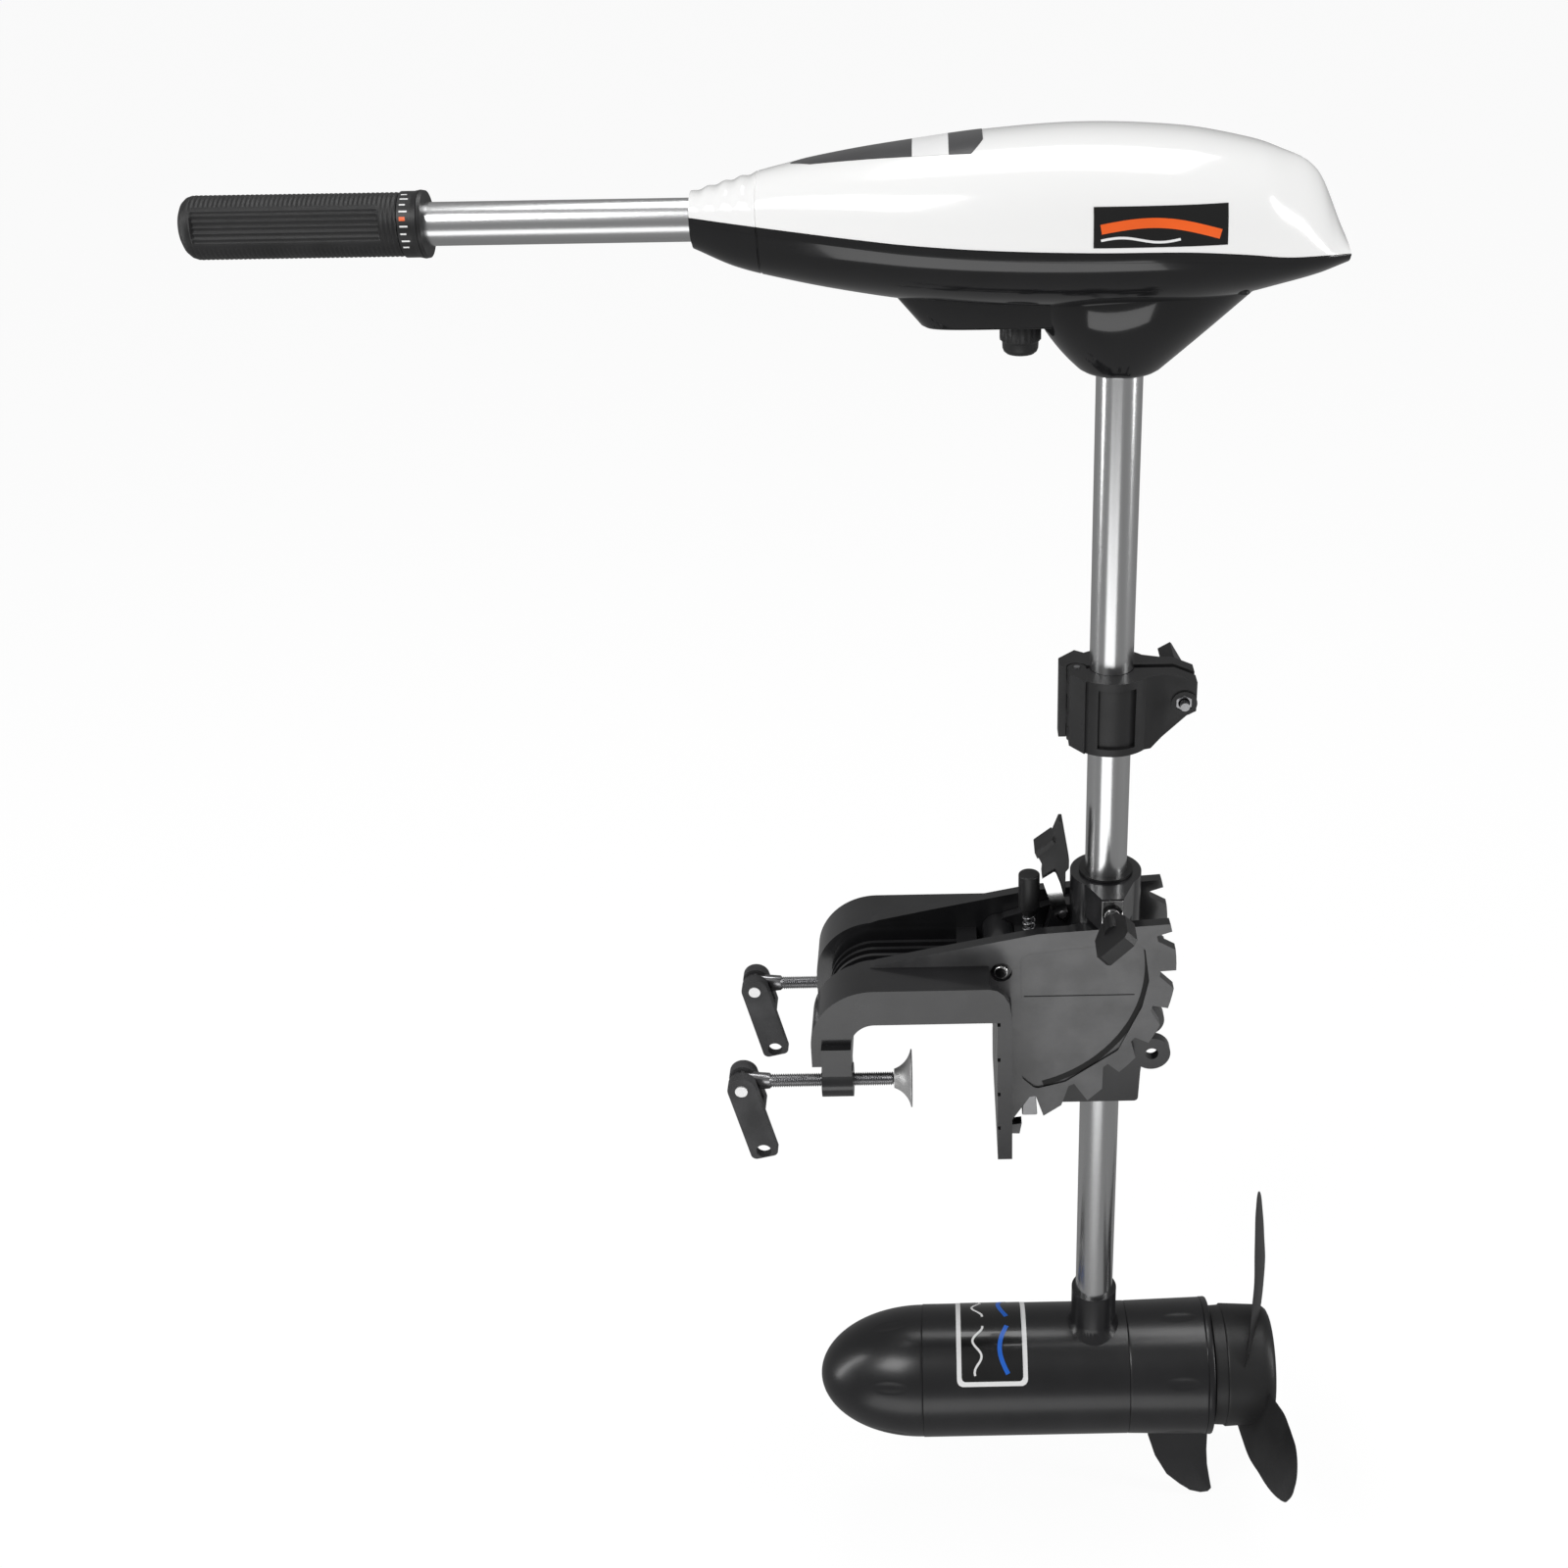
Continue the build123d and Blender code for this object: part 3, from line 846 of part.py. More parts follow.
with BuildPart() as brush_plate:
    bar(MOTOR_R - MOTOR_WALL - 1.0, (-40.0, 0, MOTOR_Z), (-37.0, 0, MOTOR_Z))
    bar(19.0, (-41.0, 0, MOTOR_Z), (-36.0, 0, MOTOR_Z), mode=Mode.SUBTRACT)
    for side in (-1, 1):
        block((-37.0, -5.5, MOTOR_Z + side * 30.0 - 9.0), (-25.0, 5.5, MOTOR_Z + side * 30.0 + 9.0))
        block((-34.9, -3.9, MOTOR_Z + side * 30.0 - 10.0), (-27.1, 3.9, MOTOR_Z + side * 30.0 + 10.0),
              mode=Mode.SUBTRACT)
brush_plate.part.label = "brush_plate"
export_step(brush_plate.part, "parts/brush_plate.step")

with BuildPart() as carbon_brushes:
    for side in (-1, 1):
        inner = 17.3
        outer = 34.0
        ends = sorted((MOTOR_Z + side * inner, MOTOR_Z + side * outer))
        block((-34.9, -3.9, ends[0]), (-27.1, 3.9, ends[1]))
carbon_brushes.part.label = "carbon_brushes"
export_step(carbon_brushes.part, "parts/carbon_brushes.step")

with BuildPart() as bearings:
    for bearing_x in (-72.0, TAIL_END - 26.0):
        bar(13.0, (bearing_x, 0, MOTOR_Z), (bearing_x + 8.0, 0, MOTOR_Z))
    bar(MOTOR_SHAFT_R + RUNNING, (-80.0, 0, MOTOR_Z), (TAIL_END, 0, MOTOR_Z), mode=Mode.SUBTRACT)
bearings.part.label = "bearings"
export_step(bearings.part, "parts/bearings.step")

with BuildPart() as shaft_seal:
    bar(10.0, (TAIL_END - 6.0, 0, MOTOR_Z), (TAIL_END, 0, MOTOR_Z))
    bar(MOTOR_SHAFT_R + RUNNING, (TAIL_END - 10.0, 0, MOTOR_Z), (TAIL_END + 5.0, 0, MOTOR_Z),
        mode=Mode.SUBTRACT)
shaft_seal.part.label = "shaft_seal"
export_step(shaft_seal.part, "parts/shaft_seal.step")

ARM_X0 = -10.0
ARM_X1 = 52.0
with BuildPart() as armature_core:
    with BuildSketch(Plane.YZ.offset(ARM_X0)) as lamination:
        with Locations((0, MOTOR_Z)):
            Circle(ARMATURE_R)
            Circle(MOTOR_SHAFT_R, mode=Mode.SUBTRACT)
            with PolarLocations(27.0, 12):
                Rectangle(12.0, 6.4, mode=Mode.SUBTRACT)
    extrude(lamination.sketch, amount=ARM_X1 - ARM_X0)
armature_core.part.label = "armature_core"
export_step(armature_core.part, "parts/armature_core.step")

with BuildPart() as windings:
    with BuildSketch(Plane.YZ.offset(ARM_X0)) as coils:
        with Locations((0, MOTOR_Z)):
            with PolarLocations(27.0, 12):
                Rectangle(11.9, 6.3)
    extrude(coils.sketch, amount=ARM_X1 - ARM_X0)
    for ring_x in (ARM_X0 - 8.0, ARM_X1):
        bar(32.0, (ring_x, 0, MOTOR_Z), (ring_x + 8.0, 0, MOTOR_Z))
        bar(20.0, (ring_x - 1, 0, MOTOR_Z), (ring_x + 9.0, 0, MOTOR_Z), mode=Mode.SUBTRACT)
windings.part.label = "windings"
export_step(windings.part, "parts/windings.step")

with BuildPart() as commutator:
    bar(17.0, (-36.0, 0, MOTOR_Z), (-18.0, 0, MOTOR_Z))
    bar(MOTOR_SHAFT_R, (-40.0, 0, MOTOR_Z), (-10.0, 0, MOTOR_Z), mode=Mode.SUBTRACT)
    with BuildSketch(Plane.YZ.offset(-37.0)) as cuts:
        with Locations((0, MOTOR_Z)):
            with PolarLocations(16.5, 12):
                Rectangle(2.4, 0.8)
    extrude(cuts.sketch, amount=20.0, mode=Mode.SUBTRACT)
commutator.part.label = "commutator"
export_step(commutator.part, "parts/commutator.step")

PIN_X = 184.0
with BuildPart() as motor_shaft:
    bar(MOTOR_SHAFT_R, (-72.0, 0, MOTOR_Z), (HUB_X1 - 1.5, 0, MOTOR_Z))
    bar(1.6, (PIN_X, 0, MOTOR_Z - 10), (PIN_X, 0, MOTOR_Z + 10), mode=Mode.SUBTRACT)
motor_shaft.part.label = "motor_shaft"
export_step(motor_shaft.part, "parts/motor_shaft.step")

with BuildPart() as shear_pin:
    bar(1.6, (PIN_X, 0, MOTOR_Z - 13.0), (PIN_X, 0, MOTOR_Z + 13.0))
shear_pin.part.label = "shear_pin"
export_step(shear_pin.part, "parts/shear_pin.step")

# ---- propeller -----------------------------------------------------------------------------
# stations of one blade: radius, chord, thickness, rake towards the rear and sweep back from
# the tip's angle; the leading edge is the one nearer the motor
BLADE_STATIONS = [
    (27.0, 70.0, 7.0, -4.0, -37.0),
    (31.0, 70.0, 6.8, -3.0, -34.0),
    (46.0, 71.0, 6.0, 0.5, -25.0),
    (61.0, 70.0, 5.4, 3.0, -17.0),
    (77.0, 62.0, 4.8, 5.5, -10.5),
    (92.0, 51.0, 4.2, 8.0, -5.3),
    (105.0, 41.5, 3.6, 9.7, -2.0),
    (117.0, 31.0, 3.0, 11.0, 0.0),
    (126.0, 20.0, 2.4, 11.5, 0.0),
    (134.0, 7.0, 1.8, 11.0, 0.0),
]
BLADE_PITCH = 17.0
BLADE_SECTION = [(-0.5, 0.0), (-0.34, 0.36), (0.0, 0.5), (0.34, 0.36), (0.5, 0.0), (0.34, -0.36),
                 (0.0, -0.5), (-0.34, -0.36)]
BLADE_X = 201.5


def add_blade(degrees):
    """Loft one propeller blade outwards from the hub."""
    twist = math.radians(BLADE_PITCH)
    sections = []
    for radius, chord, thickness, rake, sweep in BLADE_STATIONS:
        angle = math.radians(degrees + sweep)
        outward = Vector(0, math.sin(angle), math.cos(angle))
        tangent = Vector(1, 0, 0).cross(outward)
        along = tangent * math.cos(twist) - Vector(math.sin(twist), 0, 0)
        centre = Vector(BLADE_X + rake, 0, MOTOR_Z) + outward * radius
        with BuildSketch(Plane(origin=centre, x_dir=along, z_dir=outward)) as section:
            Polygon(*[(u * chord, v * thickness) for u, v in BLADE_SECTION], align=None)
        sections.append(section.sketch)
    loft(sections, ruled=True)


with BuildPart() as propeller:
    turned_x([(HUB_X0, 0.0), (HUB_X0, HUB_R - 1.5), (HUB_X0 + 6.0, HUB_R - 1.0), (HUB_X0 + 7.0, HUB_R),
              (HUB_X1 - 8.0, HUB_REAR_R), (HUB_X1 - 2.5, HUB_REAR_R - 2.2), (HUB_X1, HUB_REAR_R - 6.0),
              (HUB_X1, 0.0)], MOTOR_Z)
    bar(HUB_R - 7.5, (HUB_X0 - 1.0, 0, MOTOR_Z), (HUB_X0 + 5.0, 0, MOTOR_Z), mode=Mode.SUBTRACT)
    for index in range(BLADES):
        add_blade(BLADE_START + index * 360.0 / BLADES)
    bar(36.0, (HUB_X0 - 1.0, 0, MOTOR_Z), (HUB_X1 - 12.0, 0, MOTOR_Z), mode=Mode.SUBTRACT)
    bar(14.0, (HUB_X0 + 4.0, 0, MOTOR_Z), (HUB_X1 - 8.0, 0, MOTOR_Z))
    for web in range(4):
        with Locations(Location((HUB_X0 + 18.0, 0, MOTOR_Z), (45.0 + 90.0 * web, 0, 0))):
            with Locations((0, 25.0, 0)):
                Box(28.0, 24.0, 3.0)
    bar(MOTOR_SHAFT_R + RUNNING, (HUB_X0 - 1, 0, MOTOR_Z), (HUB_X1 + 1, 0, MOTOR_Z), mode=Mode.SUBTRACT)
    bar(11.0, (HUB_X1 - 8.0, 0, MOTOR_Z), (HUB_X1 + 1, 0, MOTOR_Z), mode=Mode.SUBTRACT)
    block((HUB_X0, -1.7, MOTOR_Z - 13.1), (PIN_X + 1.7, 1.7, MOTOR_Z + 13.1), mode=Mode.SUBTRACT)
propeller.part.label = "propeller"
export_step(propeller.part, "parts/propeller.step")

with BuildPart() as prop_nut:
    hex_bar(17.0, (HUB_X1 - 8.0, 0, MOTOR_Z), (HUB_X1 - 2.0, 0, MOTOR_Z))
    bar(MOTOR_SHAFT_R, (HUB_X1 - 9.0, 0, MOTOR_Z), (HUB_X1, 0, MOTOR_Z), mode=Mode.SUBTRACT)
prop_nut.part.label = "prop_nut"
export_step(prop_nut.part, "parts/prop_nut.step")
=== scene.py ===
"""Looks of the trolling motor: camera, light, materials and the detailed pieces that stand for CAD nodes."""
import json
import math

import bmesh
import bpy
from mathutils import Matrix, Vector


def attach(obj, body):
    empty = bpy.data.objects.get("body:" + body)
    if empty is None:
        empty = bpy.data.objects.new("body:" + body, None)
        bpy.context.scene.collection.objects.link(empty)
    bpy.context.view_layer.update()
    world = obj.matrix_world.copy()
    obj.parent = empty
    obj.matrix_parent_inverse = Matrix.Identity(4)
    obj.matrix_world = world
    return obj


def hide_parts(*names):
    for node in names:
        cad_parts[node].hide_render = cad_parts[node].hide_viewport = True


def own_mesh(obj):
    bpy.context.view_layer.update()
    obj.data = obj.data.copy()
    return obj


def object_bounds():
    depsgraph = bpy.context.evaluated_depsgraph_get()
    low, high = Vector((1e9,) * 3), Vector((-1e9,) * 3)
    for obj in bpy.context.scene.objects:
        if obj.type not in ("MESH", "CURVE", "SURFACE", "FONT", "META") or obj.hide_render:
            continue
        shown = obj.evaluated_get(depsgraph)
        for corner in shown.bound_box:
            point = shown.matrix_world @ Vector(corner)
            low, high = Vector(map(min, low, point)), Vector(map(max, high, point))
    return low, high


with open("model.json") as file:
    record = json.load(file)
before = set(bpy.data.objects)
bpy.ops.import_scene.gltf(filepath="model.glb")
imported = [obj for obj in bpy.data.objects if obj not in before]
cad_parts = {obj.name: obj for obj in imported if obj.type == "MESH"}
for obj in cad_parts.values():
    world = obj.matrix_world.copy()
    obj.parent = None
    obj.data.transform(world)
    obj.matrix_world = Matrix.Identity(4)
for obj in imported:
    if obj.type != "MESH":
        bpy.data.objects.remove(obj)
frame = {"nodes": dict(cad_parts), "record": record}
CAD_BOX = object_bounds()
NODES = frame["nodes"]
BODY_OF = {node: body for body, nodes in frame["record"]["behaviour"]["bodies"].items() for node in nodes}
MM = 0.001

# ---- where things are, in millimetres, as the solids have them -----------------------------
SHAFT_X = 75.0
MOTOR_Z = -330.0
TILLER_Z = 561.5
GLAND_X = 16.5
DIAL_R = 18.1
CAN_R = 50.0


# ---- camera, light and floor ----------------------------------------------------------------
def make_camera():
    """The camera at the photograph's height, distance and tilt."""
    pitch, roll, yaw = math.radians(28.848), math.radians(0.878), math.radians(0.341)
    forward = Vector((math.sin(yaw) * math.cos(pitch), math.cos(yaw) * math.cos(pitch), -math.sin(pitch)))
    right = Vector((math.cos(yaw), -math.sin(yaw), 0.0))
    down = forward.cross(right)
    right_rolled = right * math.cos(roll) + down * math.sin(roll)
    up = right * math.sin(roll) - down * math.cos(roll)
    data = bpy.data.cameras.new("camera")
    data.sensor_width = 36.0
    data.lens = 44.741
    data.shift_x = -0.10826
    data.clip_end = 50.0
    camera = bpy.data.objects.new("camera", data)
    bpy.context.scene.collection.objects.link(camera)
    rotation = Matrix((right_rolled, up, -forward)).transposed().to_4x4()
    camera.matrix_world = Matrix.Translation(Vector((-32.94, -1119.07, 811.29)) * MM) @ rotation
    bpy.context.scene.camera = camera


def area_light(name, location, target, size, power, size_y=None, colour=(1.0, 1.0, 1.0)):
    """A soft box that faces a point."""
    data = bpy.data.lights.new(name, "AREA")
    data.shape = "RECTANGLE"
    data.size = size
    data.size_y = size_y or size
    data.energy = power
    data.color = colour
    light = bpy.data.objects.new(name, data)
    bpy.context.scene.collection.objects.link(light)
    direction = Vector(target) - Vector(location)
    light.matrix_world = Matrix.Translation(location) @ direction.to_track_quat("-Z", "Y").to_matrix().to_4x4()


def make_studio():
    """Pale floor, even white surroundings and large soft boxes."""
    world = bpy.data.worlds.new("studio")
    bpy.context.scene.world = world
    world.use_nodes = True
    nodes, links = world.node_tree.nodes, world.node_tree.links
    background = nodes["Background"]
    background.inputs["Color"].default_value = (1.0, 1.0, 1.0, 1.0)
    seen = nodes.new("ShaderNodeMapRange")
    seen.inputs["To Min"].default_value = 0.22
    seen.inputs["To Max"].default_value = 0.95
    links.new(nodes.new("ShaderNodeLightPath").outputs["Is Camera Ray"], seen.inputs["Value"])
    links.new(seen.outputs["Result"], background.inputs["Strength"])
    bpy.context.scene.view_settings.view_transform = "Standard"
    area_light("key", (-1.3, -1.7, 2.3), (0.0, 0.0, 0.1), 1.1, 30.0)
    area_light("front_low", (-0.5, -2.2, -1.1), (0.0, 0.0, 0.1), 2.3, 11.0, size_y=1.1)
    area_light("right", (2.2, -0.6, 0.8), (0.0, 0.0, 0.1), 0.35, 20.0, size_y=2.2)
    area_light("left", (-2.3, -0.3, 0.6), (0.0, 0.0, 0.1), 0.35, 16.0, size_y=2.2)
    area_light("top", (0.1, 0.4, 2.6), (0.0, 0.0, 0.2), 1.4, 26.0)
    floor_mesh = bpy.data.meshes.new("floor")
    z = CAD_BOX[0].z - 0.002
    floor_mesh.from_pydata([(-40, -40, z), (40, -40, z), (40, 40, z), (-40, 40, z)], [], [(0, 1, 2, 3)])
    floor = bpy.data.objects.new("floor", floor_mesh)
    bpy.context.scene.collection.objects.link(floor)
    pale = material("floor_pale", (0.10, 0.10, 0.10), roughness=0.9, specular=0.0)
    shader = pale.node_tree.nodes["Principled BSDF"]
    shader.inputs["Emission Color"].default_value = (1.0, 1.0, 1.0, 1.0)
    shader.inputs["Emission Strength"].default_value = 0.93
    floor.data.materials.append(pale)
    floor.visible_glossy = False
    floor.visible_shadow = False


# ---- materials ------------------------------------------------------------------------------
def material(name, colour, roughness=0.5, metallic=0.0, coat=0.0, coat_roughness=0.05, specular=0.5,
             grain=0.0, grain_scale=600.0, mottle=0.0, rough_spread=0.0, stretch=None):
    """A principled material with fine grain, colour mottle and uneven gloss made from noise."""
    mat = bpy.data.materials.new(name)
    mat.use_nodes = True
    nodes, links = mat.node_tree.nodes, mat.node_tree.links
    shader = nodes["Principled BSDF"]
    shader.inputs["Base Color"].default_value = (*colour, 1.0)
    shader.inputs["Roughness"].default_value = roughness
    shader.inputs["Metallic"].default_value = metallic
    shader.inputs["Coat Weight"].default_value = coat
    shader.inputs["Coat Roughness"].default_value = coat_roughness
    shader.inputs["Specular IOR Level"].default_value = specular
    place = nodes.new("ShaderNodeTexCoord")
    mapping = nodes.new("ShaderNodeMapping")
    links.new(place.outputs["Object"], mapping.inputs["Vector"])
    if stretch:
        mapping.inputs["Scale"].default_value = stretch

    def noise(scale, detail=3.0):
        """A noise texture on the object's own coordinates."""
        texture = nodes.new("ShaderNodeTexNoise")
        texture.inputs["Scale"].default_value = scale
        texture.inputs["Detail"].default_value = detail
        links.new(mapping.outputs["Vector"], texture.inputs["Vector"])
        return texture

    if grain:
        bump = nodes.new("ShaderNodeBump")
        bump.inputs["Strength"].default_value = grain
        bump.inputs["Distance"].default_value = 0.0004
        links.new(noise(grain_scale).outputs["Fac"], bump.inputs["Height"])
        links.new(bump.outputs["Normal"], shader.inputs["Normal"])
    if mottle:
        ramp = nodes.new("ShaderNodeValToRGB")
        ramp.color_ramp.elements[0].position = 0.35
        ramp.color_ramp.elements[1].position = 0.7
        ramp.color_ramp.elements[0].color = (*[c * (1 - mottle) for c in colour], 1.0)
        ramp.color_ramp.elements[1].color = (*[min(c * (1 + mottle), 1.0) for c in colour], 1.0)
        links.new(noise(38.0, 6.0).outputs["Fac"], ramp.inputs["Fac"])
        links.new(ramp.outputs["Color"], shader.inputs["Base Color"])
    if rough_spread:
        spread = nodes.new("ShaderNodeMapRange")
        spread.inputs["To Min"].default_value = max(roughness - rough_spread, 0.02)
        spread.inputs["To Max"].default_value = roughness + rough_spread
        links.new(noise(60.0, 5.0).outputs["Fac"], spread.inputs["Value"])
        links.new(spread.outputs["Result"], shader.inputs["Roughness"])
    return mat


MATERIALS = {
    "cover_white": material("cover_white", (0.88, 0.88, 0.875), 0.16, coat=0.5, grain=0.01, grain_scale=220,
                            rough_spread=0.03),
    "gloss_black": material("gloss_black", (0.006, 0.006, 0.0065), 0.12, coat=0.6, grain=0.01,
                            grain_scale=260, rough_spread=0.04, mottle=0.15),
    "housing_black": material("housing_black", (0.010, 0.010, 0.011), 0.32, coat=0.25, coat_roughness=0.2,
                              grain=0.05, grain_scale=1500, rough_spread=0.05, mottle=0.15),
    "bracket_black": material("bracket_black", (0.012, 0.012, 0.013), 0.3, coat=0.7, coat_roughness=0.14,
                              grain=0.10, grain_scale=900, rough_spread=0.06, mottle=0.2),
    "black_plastic": material("black_plastic", (0.014, 0.014, 0.0145), 0.42, grain=0.10, grain_scale=2200,
                              rough_spread=0.06, mottle=0.2),
    "grip_plastic": material("grip_plastic", (0.012, 0.012, 0.0125), 0.5, grain=0.35, grain_scale=2600,
                             rough_spread=0.06, mottle=0.25),
    "handle_grey": material("handle_grey", (0.045, 0.045, 0.047), 0.6, grain=0.6, grain_scale=1900,
                            rough_spread=0.06, mottle=0.35),
    "tube_aluminium": material("tube_aluminium", (0.80, 0.805, 0.81), 0.24, metallic=1.0, grain=0.03,
                               grain_scale=500, rough_spread=0.03, mottle=0.03, stretch=(6.0, 6.0, 0.25)),
    "tiller_aluminium": material("tiller_aluminium", (0.80, 0.805, 0.81), 0.26, metallic=1.0, grain=0.03,
                                 grain_scale=500, rough_spread=0.03, mottle=0.03, stretch=(0.25, 6.0, 6.0)),
    "steel": material("steel", (0.42, 0.42, 0.43), 0.3, metallic=1.0, grain=0.06, grain_scale=900,
                      rough_spread=0.08, mottle=0.1),
    "bright_steel": material("bright_steel", (0.75, 0.75, 0.75), 0.14, metallic=1.0, grain=0.04,
                             grain_scale=700, rough_spread=0.05, mottle=0.05),
    "rivet_white": material("rivet_white", (0.85, 0.85, 0.85), 0.3, metallic=0.6, grain=0.03,
                            rough_spread=0.05, mottle=0.05),
    "bush_black": material("bush_black", (0.010, 0.010, 0.0105), 0.38, grain=0.05, grain_scale=1800,
                           rough_spread=0.05, mottle=0.2),
    "lamination": material("lamination", (0.22, 0.22, 0.23), 0.45, metallic=0.9, grain=0.3,
                           rough_spread=0.1, mottle=0.2, stretch=(12.0, 0.4, 0.4)),
    "magnet_dark": material("magnet_dark", (0.05, 0.05, 0.055), 0.5, grain=0.15, rough_spread=0.1, mottle=0.2),
    "copper": material("copper", (0.55, 0.2, 0.08), 0.3, metallic=1.0, grain=0.5, grain_scale=900,
                       rough_spread=0.1, mottle=0.2, stretch=(0.3, 3.0, 3.0)),
    "carbon": material("carbon", (0.03, 0.03, 0.03), 0.6, grain=0.3, rough_spread=0.1, mottle=0.2),
    "seal_rubber": material("seal_rubber", (0.012, 0.012, 0.012), 0.55, grain=0.1, rough_spread=0.1, mottle=0.2),
    "wire_skin": material("wire_skin", (0.25, 0.02, 0.02), 0.4, grain=0.05, rough_spread=0.1, mottle=0.1),
    "satin_steel": material("satin_steel", (0.5, 0.5, 0.5), 0.45, metallic=0.7, grain=0.04, rough_spread=0.05,
                            mottle=0.06),
    # paler copy of the bracket black for the plates' outer faces: painted sheen
    "bracket_painted_sheen": material("bracket_painted_sheen", (0.075, 0.075, 0.077), 0.36, coat=0.8, coat_roughness=0.22,
                             grain=0.16, grain_scale=520, rough_spread=0.08, mottle=0.25),
    # near-black strips laid where the plates' groove and line are sunk: painted shade for the recesses
    "groove_painted_shade": material("groove_painted_shade", (0.003, 0.003, 0.003), 0.5, grain=0.02, mottle=0.1,
                             rough_spread=0.03),
    "decal_black": material("decal_black", (0.006, 0.006, 0.006), 0.22, coat=0.5, grain=0.02, mottle=0.1,
                            rough_spread=0.03),
    "decal_grey": material("decal_grey", (0.05, 0.05, 0.052), 0.3, coat=0.3, grain=0.02, mottle=0.1,
                           rough_spread=0.03),
    "decal_white": material("decal_white", (0.82, 0.82, 0.82), 0.3, grain=0.02, mottle=0.03, rough_spread=0.03),
    "decal_orange": material("decal_orange", (0.85, 0.12, 0.015), 0.3, grain=0.02, mottle=0.05,
                             rough_spread=0.03),
    "decal_blue": material("decal_blue", (0.01, 0.13, 0.62), 0.3, grain=0.02, mottle=0.05, rough_spread=0.03),
    "switch_plastic": material("switch_plastic", (0.12, 0.10, 0.07), 0.5, grain=0.1, rough_spread=0.1, mottle=0.2),
}
SLOT_OF = {entry["node"]: entry["material_slot"] for entry in frame["record"]["subparts"]}


def paint(obj, slot_name, look=None):
    """Give a piece its material: the named look, else the material named by its record slot."""
    obj.data.materials.clear()
    obj.data.materials.append(MATERIALS[look or slot_name])


# ---- refined copies of the solids: welded, edges rounded, smooth where curved -----------------
def link_piece(name, mesh, body, slot_name, look=None):
    """Put a new mesh in the scene, riding on a body."""
    obj = bpy.data.objects.new(name, mesh)
    bpy.context.scene.collection.objects.link(obj)
    paint(obj, slot_name, look)
    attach(obj, body)
    return obj


def refine(node, radius=0.5, segments=2, angle=32.0, look=None):
    """A copy of a CAD node with small rounds on its edges."""
    bm = bmesh.new()
    bm.from_mesh(NODES[node].data)
    bmesh.ops.remove_doubles(bm, verts=bm.verts, dist=2e-6)
    bmesh.ops.dissolve_degenerate(bm, edges=bm.edges, dist=2e-6)
    bmesh.ops.dissolve_limit(bm, angle_limit=math.radians(0.6), verts=bm.verts, edges=bm.edges,
                             delimit={"NORMAL"})
    limit = math.radians(angle)
    edges = [e for e in bm.edges if len(e.link_faces) == 2 and e.calc_face_angle(0.0) > limit]
    if radius and edges:
        bmesh.ops.bevel(bm, geom=edges, offset=radius * MM, segments=segments, profile=0.5,
                        affect="EDGES", clamp_overlap=True, harden_normals=False)
    mesh = bpy.data.meshes.new(node + "_fine")
    bm.to_mesh(mesh)
    bm.free()
    for polygon in mesh.polygons:
        polygon.use_smooth = True
    mesh.set_sharp_from_angle(angle=math.radians(38.0))
    piece = link_piece(node + "_fine", mesh, BODY_OF[node], SLOT_OF[node], look)
    weighted = piece.modifiers.new("weighted", "WEIGHTED_NORMAL")
    weighted.keep_sharp = True
    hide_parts(node)
    return piece


# ---- surfaces built from rings and patches, in millimetres ------------------------------------
def smooth_row(rows, x):
    """Values at x on smooth curves through rows of (x, value, value, ...)."""
    index = max(i for i, row in enumerate(rows[:-1]) if i == 0 or row[0] <= x)
    low, high = rows[index], rows[index + 1]
    before, after = rows[max(index - 1, 0)], rows[min(index + 2, len(rows) - 1)]
    span = high[0] - low[0]
    t = min(max((x - low[0]) / span, 0.0), 1.0)
    values = []
    for column in range(1, len(low)):
        start = (high[column] - before[column]) / (high[0] - before[0]) * span
        end = (after[column] - low[column]) / (after[0] - low[0]) * span
        values.append((2 * t ** 3 - 3 * t ** 2 + 1) * low[column] + (t ** 3 - 2 * t ** 2 + t) * start
                      + (3 * t ** 2 - 2 * t ** 3) * high[column] + (t ** 3 - t ** 2) * end)
    return values


def steps(start, end, count):
    """Evenly spaced values from start to end, both included."""
    return [start + (end - start) * i / count for i in range(count + 1)]


def add_rings(bm, rings):
    """A closed skin over rings of points, each end closed by a fan."""
    loops = [[bm.verts.new(Vector(point) * MM) for point in ring] for ring in rings]
    count = len(loops[0])
    for low, high in zip(loops, loops[1:]):
        for i in range(count):
            j = (i + 1) % count
            bm.faces.new((low[i], low[j], high[j], high[i]))
    for loop, flip in ((loops[0], True), (loops[-1], False)):
        centre = bm.verts.new(sum((vert.co for vert in loop), Vector()) / count)
        for i in range(count):
            corners = (loop[i], loop[(i + 1) % count], centre)
            bm.faces.new(corners[::-1] if flip else corners)


def add_patch(bm, surface, rows, height, depth=0.4):
    """A thin closed skin on a surface; rows hold the surface's own coordinates."""
    layers = []
    for lift in (height, -depth):
        layers.append([[bm.verts.new(Vector(surface(s, t, lift)) * MM) for s, t in row] for row in rows])
    top, bottom = layers
    for i in range(len(rows) - 1):
        for j in range(len(rows[0]) - 1):
            bm.faces.new((top[i][j], top[i][j + 1], top[i + 1][j + 1], top[i + 1][j]))
            bm.faces.new((bottom[i][j], bottom[i + 1][j], bottom[i + 1][j + 1], bottom[i][j + 1]))
    last_row, last = len(rows) - 1, len(rows[0]) - 1
    edge = [(0, j) for j in range(last)] + [(i, last) for i in range(last_row)]
    edge += [(last_row, j) for j in range(last, 0, -1)] + [(i, 0) for i in range(last_row, 0, -1)]
    for (a, b), (c, d) in zip(edge, edge[1:] + edge[:1]):
        bm.faces.new((top[a][b], bottom[a][b], bottom[c][d], top[c][d]))


